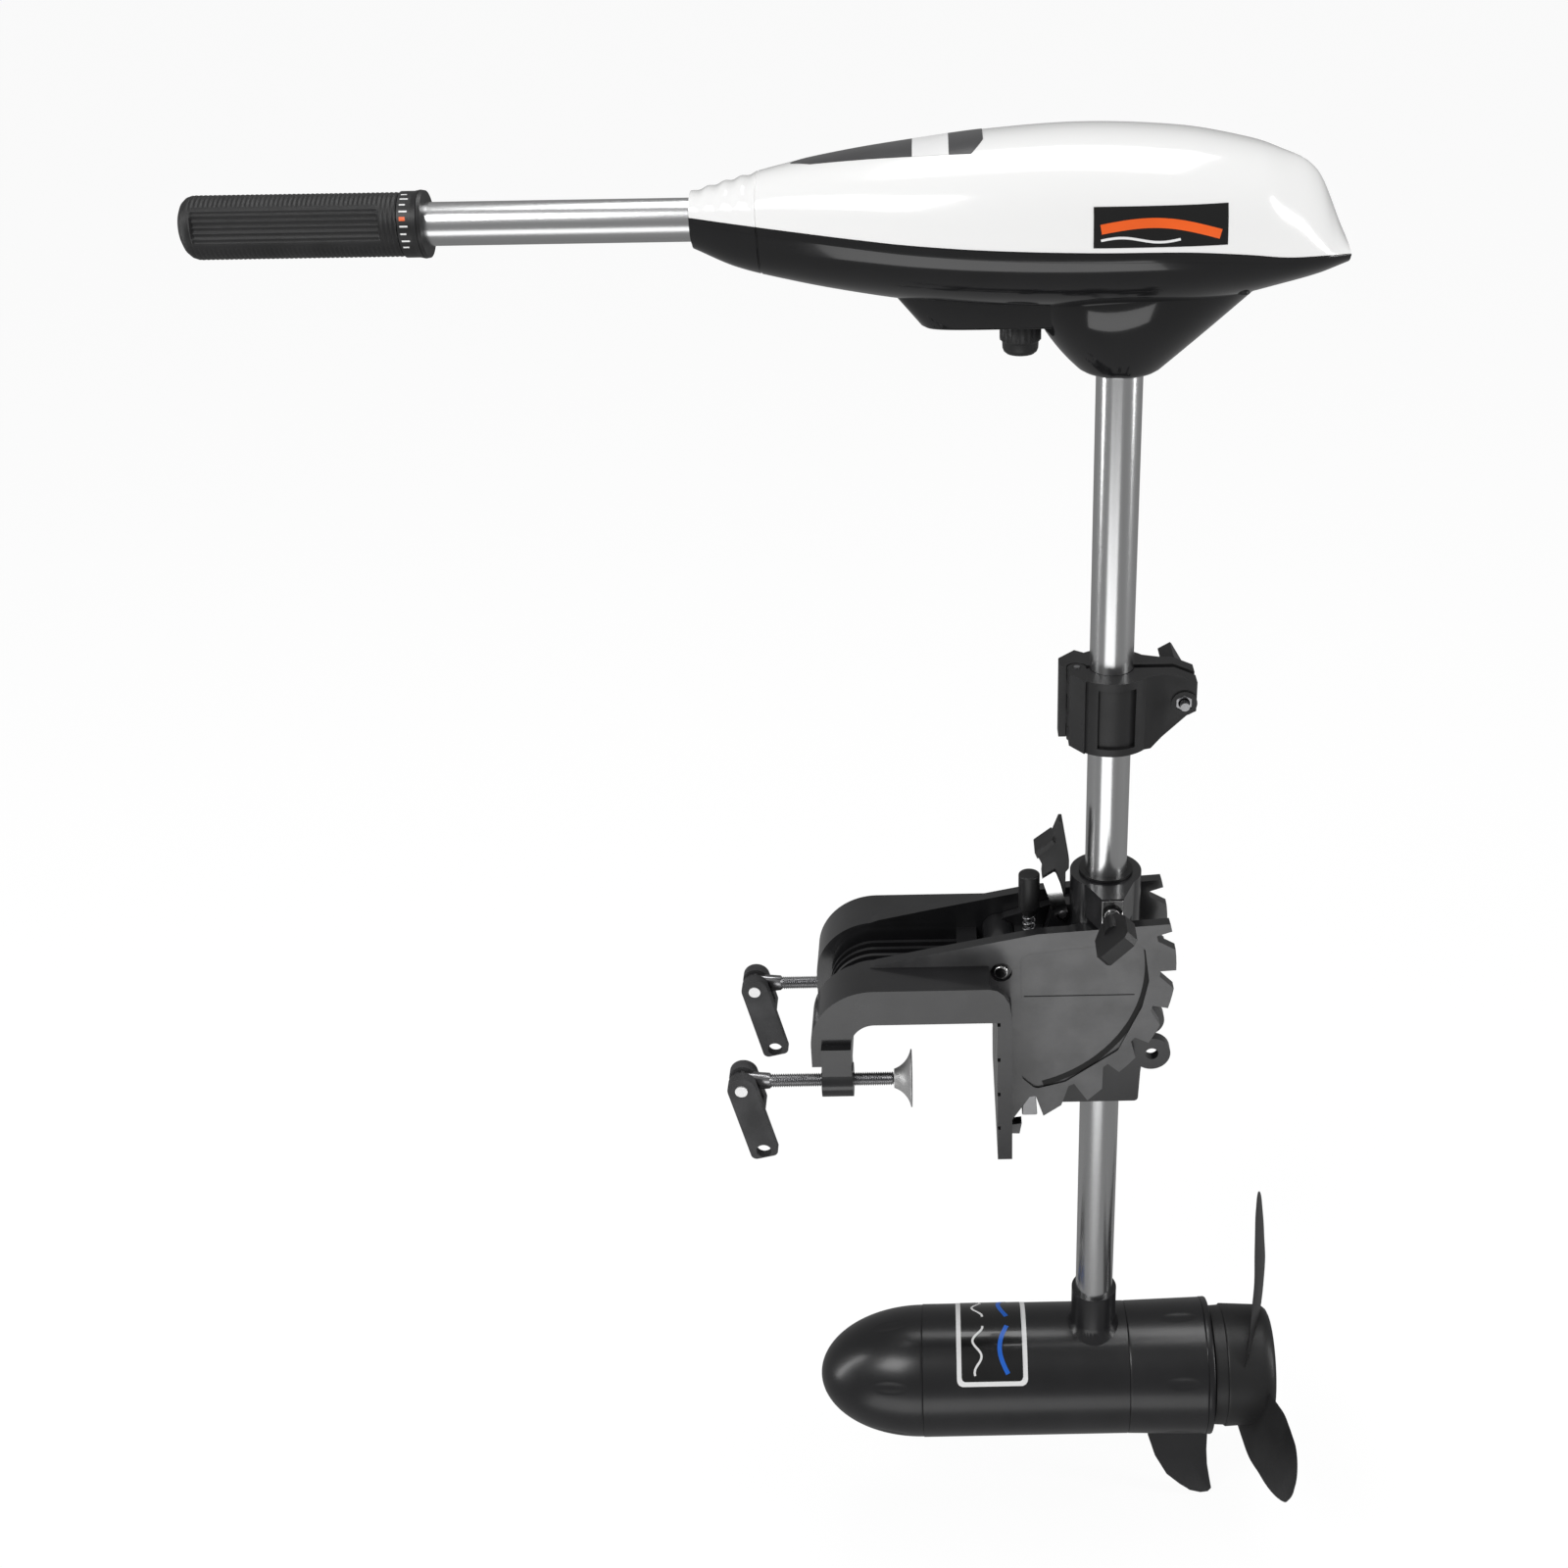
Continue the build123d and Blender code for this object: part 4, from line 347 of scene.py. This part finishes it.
def finish_mesh(bm, name, body, slot_name, look=None, node=None, angle=35.0):
    """Turn a bmesh into a piece, smooth except at sharp edges, and let it stand for a node."""
    bmesh.ops.recalc_face_normals(bm, faces=bm.faces)
    mesh = bpy.data.meshes.new(name)
    bm.to_mesh(mesh)
    bm.free()
    for polygon in mesh.polygons:
        polygon.use_smooth = True
    mesh.set_sharp_from_angle(angle=math.radians(angle))
    piece = link_piece(name, mesh, body, slot_name, look)
    if node:
        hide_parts(node)
    return piece


def turned_rings(stations, centre, axis, count, shape=None):
    """Rings about an axis through centre; shape(position, angle, radius) adjusts the radius."""
    rings = []
    for position, radius in stations:
        ring = []
        for i in range(count):
            angle = 2 * math.pi * i / count
            r = shape(position, angle, radius) if shape else radius
            if axis == "X":
                ring.append((position, centre[0] + r * math.sin(angle), centre[1] + r * math.cos(angle)))
            else:
                ring.append((centre[0] + r * math.cos(angle), centre[1] + r * math.sin(angle), position))
        rings.append(ring)
    return rings


def ribbon_rows(points, width, count=4):
    """Rows for a ribbon of even width along a line of surface coordinates."""
    rows = []
    for index, (s, t) in enumerate(points):
        before, after = points[max(index - 1, 0)], points[min(index + 1, len(points) - 1)]
        along = Vector((after[0] - before[0], after[1] - before[1])).normalized()
        rows.append([(s - along.y * k * width, t + along.x * k * width) for k in steps(-0.5, 0.5, count)])
    return rows


# ---- bracket: notched plates with a painted sheen on their faces, their groove and line in painted shade ---
PIVOT = (3.5, 67.0)
PLATE_FACE_Y = 30.5
GROOVE_R = 99.0


def make_bracket():
    """The casting, its two plates' outer faces painted a paler grey as a painted sheen, and the marks sunk in them
    drawn as dark strips of painted shade.
    """
    piece = refine("clamp_bracket", 0.7)
    piece.data.materials.append(MATERIALS["bracket_painted_sheen"])
    # plate faces turned towards +y or -y get the paler material: painted sheen
    for polygon in piece.data.polygons:
        if abs(polygon.normal.y) > 0.85 and polygon.center.x > 6.0 * MM and abs(polygon.center.y) > 28.0 * MM:
            polygon.material_index = 1
    for side_name, sign in (("near", -1), ("far", 1)):
        def plate(x, z, lift):
            """The recessed face of a plate."""
            return (x, sign * (PLATE_FACE_Y + lift), z)
        arc = [(PIVOT[0] + GROOVE_R * math.cos(math.radians(a)), PIVOT[1] + GROOVE_R * math.sin(math.radians(a)))
               for a in steps(-73.0, 9.0, 60)]
        # the groove and the line are flat dark strips on the face, not cut into it: painted shade
        decal(f"plate_groove_{side_name}", plate, ribbon_rows(arc, 4.2), "groove_painted_shade", 0.25, "bracket",
              "bracket_black")
        decal(f"plate_line_{side_name}", plate, ribbon_rows([(x, 46.0) for x in steps(19.0, 94.0, 12)], 0.7),
              "groove_painted_shade", 0.2, "bracket", "bracket_black")


# ---- head: two smooth shells, the fairing round the shaft, decals ------------------------------
# station x, height of the parting line, top, bottom, half width
HEAD_ROWS = [
    (-169.0, 566.0, 577.0, 546.0, 16.5), (-145.0, 564.0, 583.5, 535.5, 24.0),
    (-112.0, 561.5, 591.5, 527.5, 34.0), (-79.0, 559.0, 597.5, 521.5, 43.0),
    (-46.0, 556.8, 602.0, 517.0, 51.0), (-3.0, 555.0, 607.0, 513.5, 58.0),
    (51.0, 553.8, 610.0, 512.0, 62.0), (105.0, 553.0, 607.5, 513.0, 61.0),
    (138.0, 550.0, 602.0, 518.0, 56.0), (161.0, 546.5, 595.5, 523.5, 49.0),
    (183.0, 545.0, 583.0, 529.0, 40.0), (199.5, 543.5, 550.0, 535.0, 30.0),
]
NOSE_SEAM_X = -131.0
# the step under the base: height, half length, half width, middle
STEP_ROWS = [(501.4, 51.5, 16.0, 14.0), (500.6, 53.0, 17.4, 14.0), (502.0, 55.0, 18.8, 13.6),
             (520.0, 66.0, 25.0, 10.0), (526.0, 68.0, 27.0, 9.0)]
FAIRING_BOTTOM = 470.0
FAIRING_HEIGHT = 54.0
HEAD_XS = (steps(-169.0, -133.0, 36) + [-131.6, -131.2, -130.8, -130.4] + steps(-129.0, 181.0, 78)
           + steps(183.0, 199.4, 10))


def cover_power(x):
    """How square the cover's section is: full along the body, hollow towards the stern."""
    return 2.2 - 0.95 * min(max((x - 150.0) / 40.0, 0.0), 1.0)


def cover_point(x, side):
    """A point on the cover; side runs from -1 at the near rim over the top to 1 at the far rim."""
    split, top, _, width = smooth_row(HEAD_ROWS, x)
    inset = 0.5 if abs(x - NOSE_SEAM_X) < 0.5 else 0.0
    angle = side * math.pi / 2
    if x < NOSE_SEAM_X - 1.0:
        inset += 1.1 * max(math.cos(angle), 0.0) ** 2 * (0.5 - 0.5 * math.cos(2 * math.pi * (x + 169.0) / 9.5))
    power = 2.0 / cover_power(x)
    reach = width - 0.4 - inset
    crown = top - split - 0.15 - inset
    y = math.copysign(abs(math.sin(angle)) ** power, angle) * reach
    return (x, y, split + 0.15 + crown * max(math.cos(angle), 0.0) ** power)


def base_point(x, side):
    """A point on the base; side runs from -1 at the near rim under the keel to 1 at the far rim."""
    split, _, bottom, width = smooth_row(HEAD_ROWS, x)
    inset = 0.5 if abs(x - NOSE_SEAM_X) < 0.5 else 0.0
    angle = side * math.pi / 2
    rim = 0.75 if abs(side) > 0.93 else 0.0
    y = math.copysign(abs(math.sin(angle)) ** 0.92, angle) * (width - inset - 0.75 + rim)
    return (x, y, split - 0.15 - (split - bottom - inset) * max(math.cos(angle), 0.0) ** 0.92)


def make_head():
    """The cover and the base with its step and fairing."""
    bm = bmesh.new()
    arc = [math.copysign(abs(k) ** 0.8, k) for k in steps(-1.0, 1.0, 72)]
    add_rings(bm, [[cover_point(x, side) for side in arc] for x in HEAD_XS])
    finish_mesh(bm, "head_cover_shell", "shaft", "cover_white", node="head_cover", angle=30.0)
    bm = bmesh.new()
    arc = sorted(set(steps(-1.0, 1.0, 64) + [-0.935, -0.93, 0.93, 0.935]))
    add_rings(bm, [[base_point(x, side) for side in arc] for x in HEAD_XS])
    rings = []
    for z, half_x, half_y, centre in STEP_ROWS:
        ring = []
        for i in range(72):
            turn = 2 * math.pi * i / 72
            ring.append((centre + math.copysign(abs(math.cos(turn)) ** 0.42, math.cos(turn)) * half_x,
                         math.copysign(abs(math.sin(turn)) ** 0.42, math.sin(turn)) * half_y, z))
        rings.append(ring)
    add_rings(bm, rings)
    rings = []
    for t in [0.0, 0.0, 0.012, 0.03, 0.06] + steps(0.09, 1.0, 22):
        rounding = 3.4 * max(1.0 - t / 0.06, 0.0) ** 2 if rings else 5.0
        spread = math.sin(t * math.pi / 2) ** 0.86
        ring = []
        for i in range(72):
            turn = 2 * math.pi * i / 72
            left, right = -20.5 - 33.5 * spread, 20.5 + 61.5 * t
            ring.append((SHAFT_X + (left + right) / 2 + ((right - left) / 2 - rounding) * math.cos(turn),
                         (19.5 + 22.5 * spread - rounding) * math.sin(turn), FAIRING_BOTTOM + FAIRING_HEIGHT * t))
        rings.append(ring)
    add_rings(bm, rings)
    finish_mesh(bm, "head_base_shell", "shaft", "gloss_black", node="head_base", angle=30.0)


def side_point(sign):
    """The cover's side as a surface of x and height, for the near (-1) or far (1) side."""
    def place(x, z, lift):
        split, top, _, width = smooth_row(HEAD_ROWS, x)
        part = min(max((z - split - 0.15) / (top - split - 0.15), 0.0), 1.0)
        y = (width - 0.4) * (1.0 - part ** cover_power(x)) ** (1.0 / cover_power(x))
        return (x, sign * (y + lift), z)
    return place


def top_point(x, y, lift):
    """The cover's top as a surface of x and y."""
    split, top, _, width = smooth_row(HEAD_ROWS, x)
    power = cover_power(x)
    part = min(abs(y) / (width - 0.4), 1.0)
    return (x, y, split + 0.15 + (top - split - 0.15) * (1.0 - part ** power) ** (1.0 / power) + lift)


def decal(name, surface, rows, look, height=0.2, body="shaft", slot_name="cover_white"):
    """One thin printed shape on a surface."""
    bm = bmesh.new()
    add_patch(bm, surface, rows, height)
    finish_mesh(bm, name, body, slot_name, look)


def wave(start, end, level, swing, turns, count=28):
    """Points of a gentle wave."""
    return [(s, level + swing * math.sin(2 * math.pi * turns * (s - start) / (end - start)))
            for s in steps(start, end, count)]


def make_head_decals():
    """Generic plates: one each side with two sweeping lines, one long one along the nose."""
    for side_name, sign in (("near", -1), ("far", 1)):
        surface = side_point(sign)
        decal(f"decal_plate_{side_name}", surface, [[(x, z) for z in steps(556.5, 577.5, 8)]
                                                    for x in steps(53.0, 126.0, 36)], "decal_black", 0.25)
        sweep = [(x, 566.0 + 5.0 * math.sin(math.pi * (x - 56.0) / 67.0) - 0.06 * (x - 56.0))
                 for x in steps(57.0, 122.0, 30)]
        decal(f"decal_sweep_{side_name}", surface, ribbon_rows(sweep, 5.0), "decal_orange", 0.42)
        decal(f"decal_line_{side_name}", surface, ribbon_rows(wave(57.0, 100.0, 560.5, 1.3, 1.0), 1.3),
              "decal_white", 0.42)
    for name, start, end, look in (("nose", -112.0, -44.0, "decal_grey"), ("band", -44.0, -24.0, "decal_white"),
                                   ("tail", -24.0, -5.0, "decal_grey")):
        rows = []
        for x in steps(start, end, 24):
            reach = 6.0 + 24.0 * ((x + 112.0) / 107.0) ** 0.75
            reach *= min(1.0, ((x + 112.5) / 12.0) ** 0.5, (max(-5.0 - x, 0.0) / 9.0 + 0.25) ** 0.5)
            rows.append([(x, y) for y in steps(-reach, reach, 24)])
        decal(f"decal_top_{name}", top_point, rows, look, 0.25)


def make_gland_nut():
    """The ribbed dome nut of the cable gland."""
    stations = [(481.6, 4.3), (481.6, 6.4), (482.2, 8.4), (483.4, 9.8), (485.2, 10.5), (489.0, 10.7),
                (489.8, 11.4), (490.4, 12.2), (499.6, 12.2), (500.2, 11.6), (500.2, 8.2)]

    def ribs(position, angle, radius):
        """Fine ribs round the nut's upper part."""
        return radius - (0.45 * (0.5 + 0.5 * math.cos(20 * angle)) if radius > 12.0 else 0.0)

    bm = bmesh.new()
    add_rings(bm, turned_rings(stations, (GLAND_X, 0.0), "Z", 160, ribs))
    finish_mesh(bm, "gland_nut_ribbed", "shaft", "black_plastic", node="gland_nut", angle=50.0)


# ---- tiller: ribbed grip, dial with marks ------------------------------------------------------
GRIP_FRONT = -331.0
PANEL_TILT = math.radians(78.0)


def grip_radius(x, angle, radius):
    """Flat ribbed panels on two sides, fine rings round the rest."""
    ringed = radius - 0.5 * (0.5 + 0.5 * math.cos(2 * math.pi * x / 2.6)) if x > -449.0 else radius
    best = ringed
    for centre in (-PANEL_TILT, math.pi - PANEL_TILT):
        off = (angle - centre + math.pi) % (2 * math.pi) - math.pi
        if abs(off) < math.radians(40.0) and -446.0 < x < -342.0:
            flat = min(radius, 15.1 / math.cos(off))
            across = flat * math.sin(off)
            best = flat + 0.75 * max(math.cos(2 * math.pi * across / 3.1), 0.0) ** 0.7 - 0.2
    return min(best, radius)


def make_grip():
    """The moulded grip and the dial's marks."""
    stations = [(-455.9, 3.0), (-455.6, 8.0), (-454.6, 11.5), (-453.0, 14.5), (-450.6, 16.6), (-448.0, 17.6)]
    stations += [(x, 17.6) for x in steps(-447.4, GRIP_FRONT - 0.7, 178)]
    stations += [(GRIP_FRONT - 0.2, 17.0), (GRIP_FRONT - 0.1, 12.8)]
    bm = bmesh.new()
    add_rings(bm, turned_rings(stations, (0.0, TILLER_Z), "X", 240, grip_radius))
    finish_mesh(bm, "twist_grip_ribbed", "grip", "grip_plastic", node="twist_grip", angle=60.0)

    def dial(x, arc, lift):
        """The dial's face as a surface of x and arc length."""
        angle = arc / DIAL_R
        return (x, (DIAL_R + lift) * math.sin(angle), TILLER_Z + (DIAL_R + lift) * math.cos(angle))

    for index in range(9):
        arc = math.radians(-120.0 + 13.0 * index) * DIAL_R
        look = "decal_orange" if index == 4 else "decal_white"
        size = 2.2 if index == 4 else 0.9
        rows = [[(x, t) for t in steps(arc - size / 2, arc + size / 2, 4)]
                for x in steps(-329.5, -325.0 if index % 2 else -326.2, 6)]
        decal(f"dial_mark_{index + 1}", dial, rows, look, 0.16, "grip", "black_plastic")


# ---- clamp screws: a real thread and the flat tang ----------------------------------------------
SCREW_R = 4.75
SCREW_LEAD = 1.5
CLAMP_Y = 58.0


def make_clamp_screw(side_name, axis_y):
    """The screw's thread, a groove that climbs 1.5 mm a turn, and its tang."""
    node = f"clamp_screw_{side_name}"
    bm = bmesh.new()
    bm.from_mesh(NODES[node].data)
    bmesh.ops.remove_doubles(bm, verts=bm.verts, dist=2e-6)
    cut = bmesh.ops.bisect_plane(bm, geom=bm.verts[:] + bm.edges[:] + bm.faces[:], dist=1e-6,
                                 plane_co=(-0.1535, 0, 0), plane_no=(1, 0, 0), clear_outer=True)
    rim = [item for item in cut["geom_cut"] if isinstance(item, bmesh.types.BMEdge)]
    bmesh.ops.holes_fill(bm, edges=rim)

    def thread(x, angle, radius):
        """A triangular thread cut into the bar."""
        phase = (x / SCREW_LEAD + angle / (2 * math.pi)) % 1.0
        return radius - 1.2 * abs(2.0 * phase - 1.0) if radius > 4.0 else radius

    stations = [(-153.6, 3.6)] + [(x, SCREW_R) for x in steps(-153.2, -71.0, 219)]
    stations += [(-70.5, 3.9), (-70.5, 2.6), (-65.5, 2.6)]
    add_rings(bm, turned_rings(stations, (axis_y, 0.0), "X", 32, thread))
    finish_mesh(bm, node + "_thread", node, "steel", node=node, angle=50.0)


# ---- motor: nose and tail with moulded dimples, skeg, decal, propeller --------------------------
def dimples(centre_x, first):
    """A radius rule that sinks six teardrop dimples into a turned part."""
    def rule(x, angle, radius):
        if radius < 30.0:
            return radius
        depth = 0.0
        for index in range(6):
            off = (angle - math.radians(first + 60.0 * index) + math.pi) % (2 * math.pi) - math.pi
            part = ((x - centre_x) / 14.0) ** 2 + (off * radius / 4.6) ** 2
            depth = max(depth, 0.9 * max(1.0 - part, 0.0))
        return radius - depth
    return rule


SKEG_LINE = [(120.0, -374.0), (121.6, -405.0), (128.0, -428.0), (138.0, -449.0), (149.3, -461.5), (159.0, -468.8),
             (167.4, -471.5), (173.5, -470.6), (175.8, -467.2), (173.6, -455.0), (171.2, -440.0), (169.8, -422.0),
             (169.6, -406.0), (165.6, -382.0), (165.0, -374.0)]
SKEG_MIDDLE_X = 150.0      # points of the outline on either side of this shrink towards it


def make_motor():
    """Nose, tail with its skeg, and the wrapped decal."""
    stations = []
    for step in steps(0.0, 1.0, 70):
        turn = step * math.pi / 2
        stations.append((-57.3 - 79.6 * math.cos(turn), max(49.6 * math.sin(turn), 0.3)))
    stations += [(-57.05, 49.4), (-57.02, 48.0)]
    bm = bmesh.new()
    add_rings(bm, turned_rings(stations, (0.0, MOTOR_Z), "X", 240, dimples(-82.0, 0.0)))
    finish_mesh(bm, "nose_cone_smooth", "shaft", "housing_black", node="nose_cone", angle=50.0)
    stations = [(100.75, 48.0), (100.8, 49.4), (101.2, 49.8)]
    stations += [(x, 50.0 + 1.6 * (x - 101.2) / 59.0) for x in steps(102.0, 160.6, 58)]
    stations += [(160.9, 51.3), (161.2, 51.9), (164.8, 52.0), (165.6, 51.6), (165.9, 50.8), (165.9, 10.5)]
    bm = bmesh.new()
    add_rings(bm, turned_rings(stations, (0.0, MOTOR_Z), "X", 240, dimples(141.0, 0.0)))
    rings = []
    for y, grow in ((-2.6, -1.2), (-2.2, -0.5), (-1.4, -0.1), (0.0, 0.0), (1.4, -0.1), (2.2, -0.5), (2.6, -1.2)):
        rings.append([(x + grow * (1 if x > SKEG_MIDDLE_X else -1), y, z - (grow if z < -460.0 else 0.0))
                      for x, z in SKEG_LINE])
    add_rings(bm, rings)
    finish_mesh(bm, "tail_cap_smooth", "shaft", "housing_black", node="tail_cap", angle=50.0)

    def can(x, arc, lift):
        """The can as a surface of x and arc length from its top, near side first."""
        angle = -arc / CAN_R
        return (x, (CAN_R + lift) * math.sin(angle), MOTOR_Z + (CAN_R + lift) * math.cos(angle))

    reach = 52.0
    decal("motor_decal_white", can, [[(x, t) for t in steps(-reach + corner, reach - corner, 60)] for x, corner in
                                     ((-31.0, 5.0), (-30.6, 3.0), (-29.4, 1.2), (-27.0, 0.0), (-4.0, 0.0),
                                      (19.0, 0.0), (21.4, 1.2), (22.6, 3.0), (23.0, 5.0))], "decal_white", 0.15,
          "shaft", "housing_black")
    decal("motor_decal_black", can, [[(x, t) for t in steps(-reach + 3.6 + corner, reach - 3.6 - corner, 60)]
                                     for x, corner in ((-27.4, 3.0), (-26.6, 1.0), (-25.0, 0.0), (-4.0, 0.0),
                                                       (17.0, 0.0), (18.6, 1.0), (19.4, 3.0))],
          "decal_black", 0.3, "shaft", "housing_black")
    for side_name, sign in (("near", 1), ("far", -1)):
        crest = [(-15.0 + 4.5 * math.sin(2 * math.pi * t / 24.0) * (1.0 - t / 90.0), sign * t)
                 for t in steps(5.0, 44.0, 60)]
        decal(f"motor_wave_{side_name}", can, ribbon_rows(crest, 1.7), "decal_white", 0.42, "shaft",
              "housing_black")
        bow = [(8.0 - 6.0 * math.sin(math.pi * (t - 5.0) / 38.0), sign * t) for t in steps(5.0, 43.0, 40)]
        decal(f"motor_bow_{side_name}", can, ribbon_rows(bow, 3.4), "decal_blue", 0.42, "shaft", "housing_black")


# radius, chord, thickness, rake towards the rear, sweep in degrees
BLADE_ROWS = [
    (27.0, 70.0, 7.0, -4.0, -37.0), (31.0, 70.0, 6.8, -3.0, -34.0), (46.0, 71.0, 6.0, 0.5, -25.0),
    (61.0, 70.0, 5.4, 3.0, -17.0), (77.0, 62.0, 4.8, 5.5, -10.5), (92.0, 56.0, 4.2, 6.6, -5.3),
    (105.0, 50.0, 3.4, 7.6, -2.0), (117.0, 41.0, 2.6, 8.2, 0.0), (126.0, 30.0, 2.0, 8.6, 0.5),
    (131.0, 20.0, 1.6, 8.6, 0.5), (133.4, 8.0, 1.3, 8.6, 0.5),
]
BLADE_START = 31.5
BLADE_PITCH = 17.0
BLADE_X = 201.5


def blade_rings(first):
    """Lens sections of one blade, smooth from hub to tip."""
    rings = []
    twist = math.radians(BLADE_PITCH)
    for radius in steps(27.0, 120.0, 46) + steps(121.5, 133.3, 12):
        chord, thickness, rake, sweep = smooth_row(BLADE_ROWS, radius)
        angle = math.radians(first + sweep)
        outward = Vector((0.0, math.sin(angle), math.cos(angle)))
        along = Vector((1, 0, 0)).cross(outward) * math.cos(twist) - Vector((math.sin(twist), 0, 0))
        across = outward.cross(along)
        centre = Vector((BLADE_X + rake, 0.0, MOTOR_Z)) + outward * radius
        ring = []
        for i in range(28):
            turn = 2 * math.pi * i / 28
            u = math.cos(turn)
            ring.append(centre + along * u * chord * 0.5 + across * math.sin(turn) * thickness * 0.42
                        * abs(math.sin(turn)) ** 0.6)
        rings.append(ring)
    return rings


def make_propeller():
    """The hub and three swept blades."""
    bm = bmesh.new()
    stations = [(166.9, 12.0), (166.9, 43.9), (167.6, 44.8), (176.2, 45.3), (176.6, 46.0), (177.2, 46.45)]
    stations += [(x, 46.5 - 1.5 * (x - 177.0) / 29.0) for x in steps(178.0, 206.0, 14)]
    stations += [(208.6, 44.4), (210.8, 43.4), (212.6, 41.8), (213.8, 39.2), (213.9, 36.0), (213.9, 12.0),
                 (209.0, 11.2), (208.2, 5.4)]
    add_rings(bm, turned_rings(stations, (0.0, MOTOR_Z), "X", 144))
    for index in range(3):
        add_rings(bm, blade_rings(BLADE_START + 120.0 * index))
    finish_mesh(bm, "propeller_smooth", "drive", SLOT_OF["propeller"], node="propeller", angle=40.0)


# nodes whose material is not the one named by their slot
LOOK_OF = {"tiller_tube": "tiller_aluminium", "head_screws": "black_plastic", "clamp_cup_near": "satin_steel",
           "clamp_cup_far": "satin_steel"}

make_camera()
make_studio()

for node_name, node in NODES.items():
    paint(node, SLOT_OF[node_name], LOOK_OF.get(node_name))

make_bracket()
refine("swivel_block", 0.7)
spring = refine("plunger_spring", 0.0)
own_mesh(spring)
for node_name in ("clamp_handle_near", "clamp_handle_far", "tension_knob", "collar_knob", "thumb_lever",
                  "lever_clevis", "collar_rear_half", "collar_front_half", "motor_can", "lock_pawl",
                  "tension_plate", "tension_screw", "collar_nut"):
    refine(node_name, 0.5)
make_head()
make_head_decals()
make_gland_nut()
make_grip()
make_clamp_screw("near", -CLAMP_Y)
make_clamp_screw("far", CLAMP_Y)
make_motor()
make_propeller()
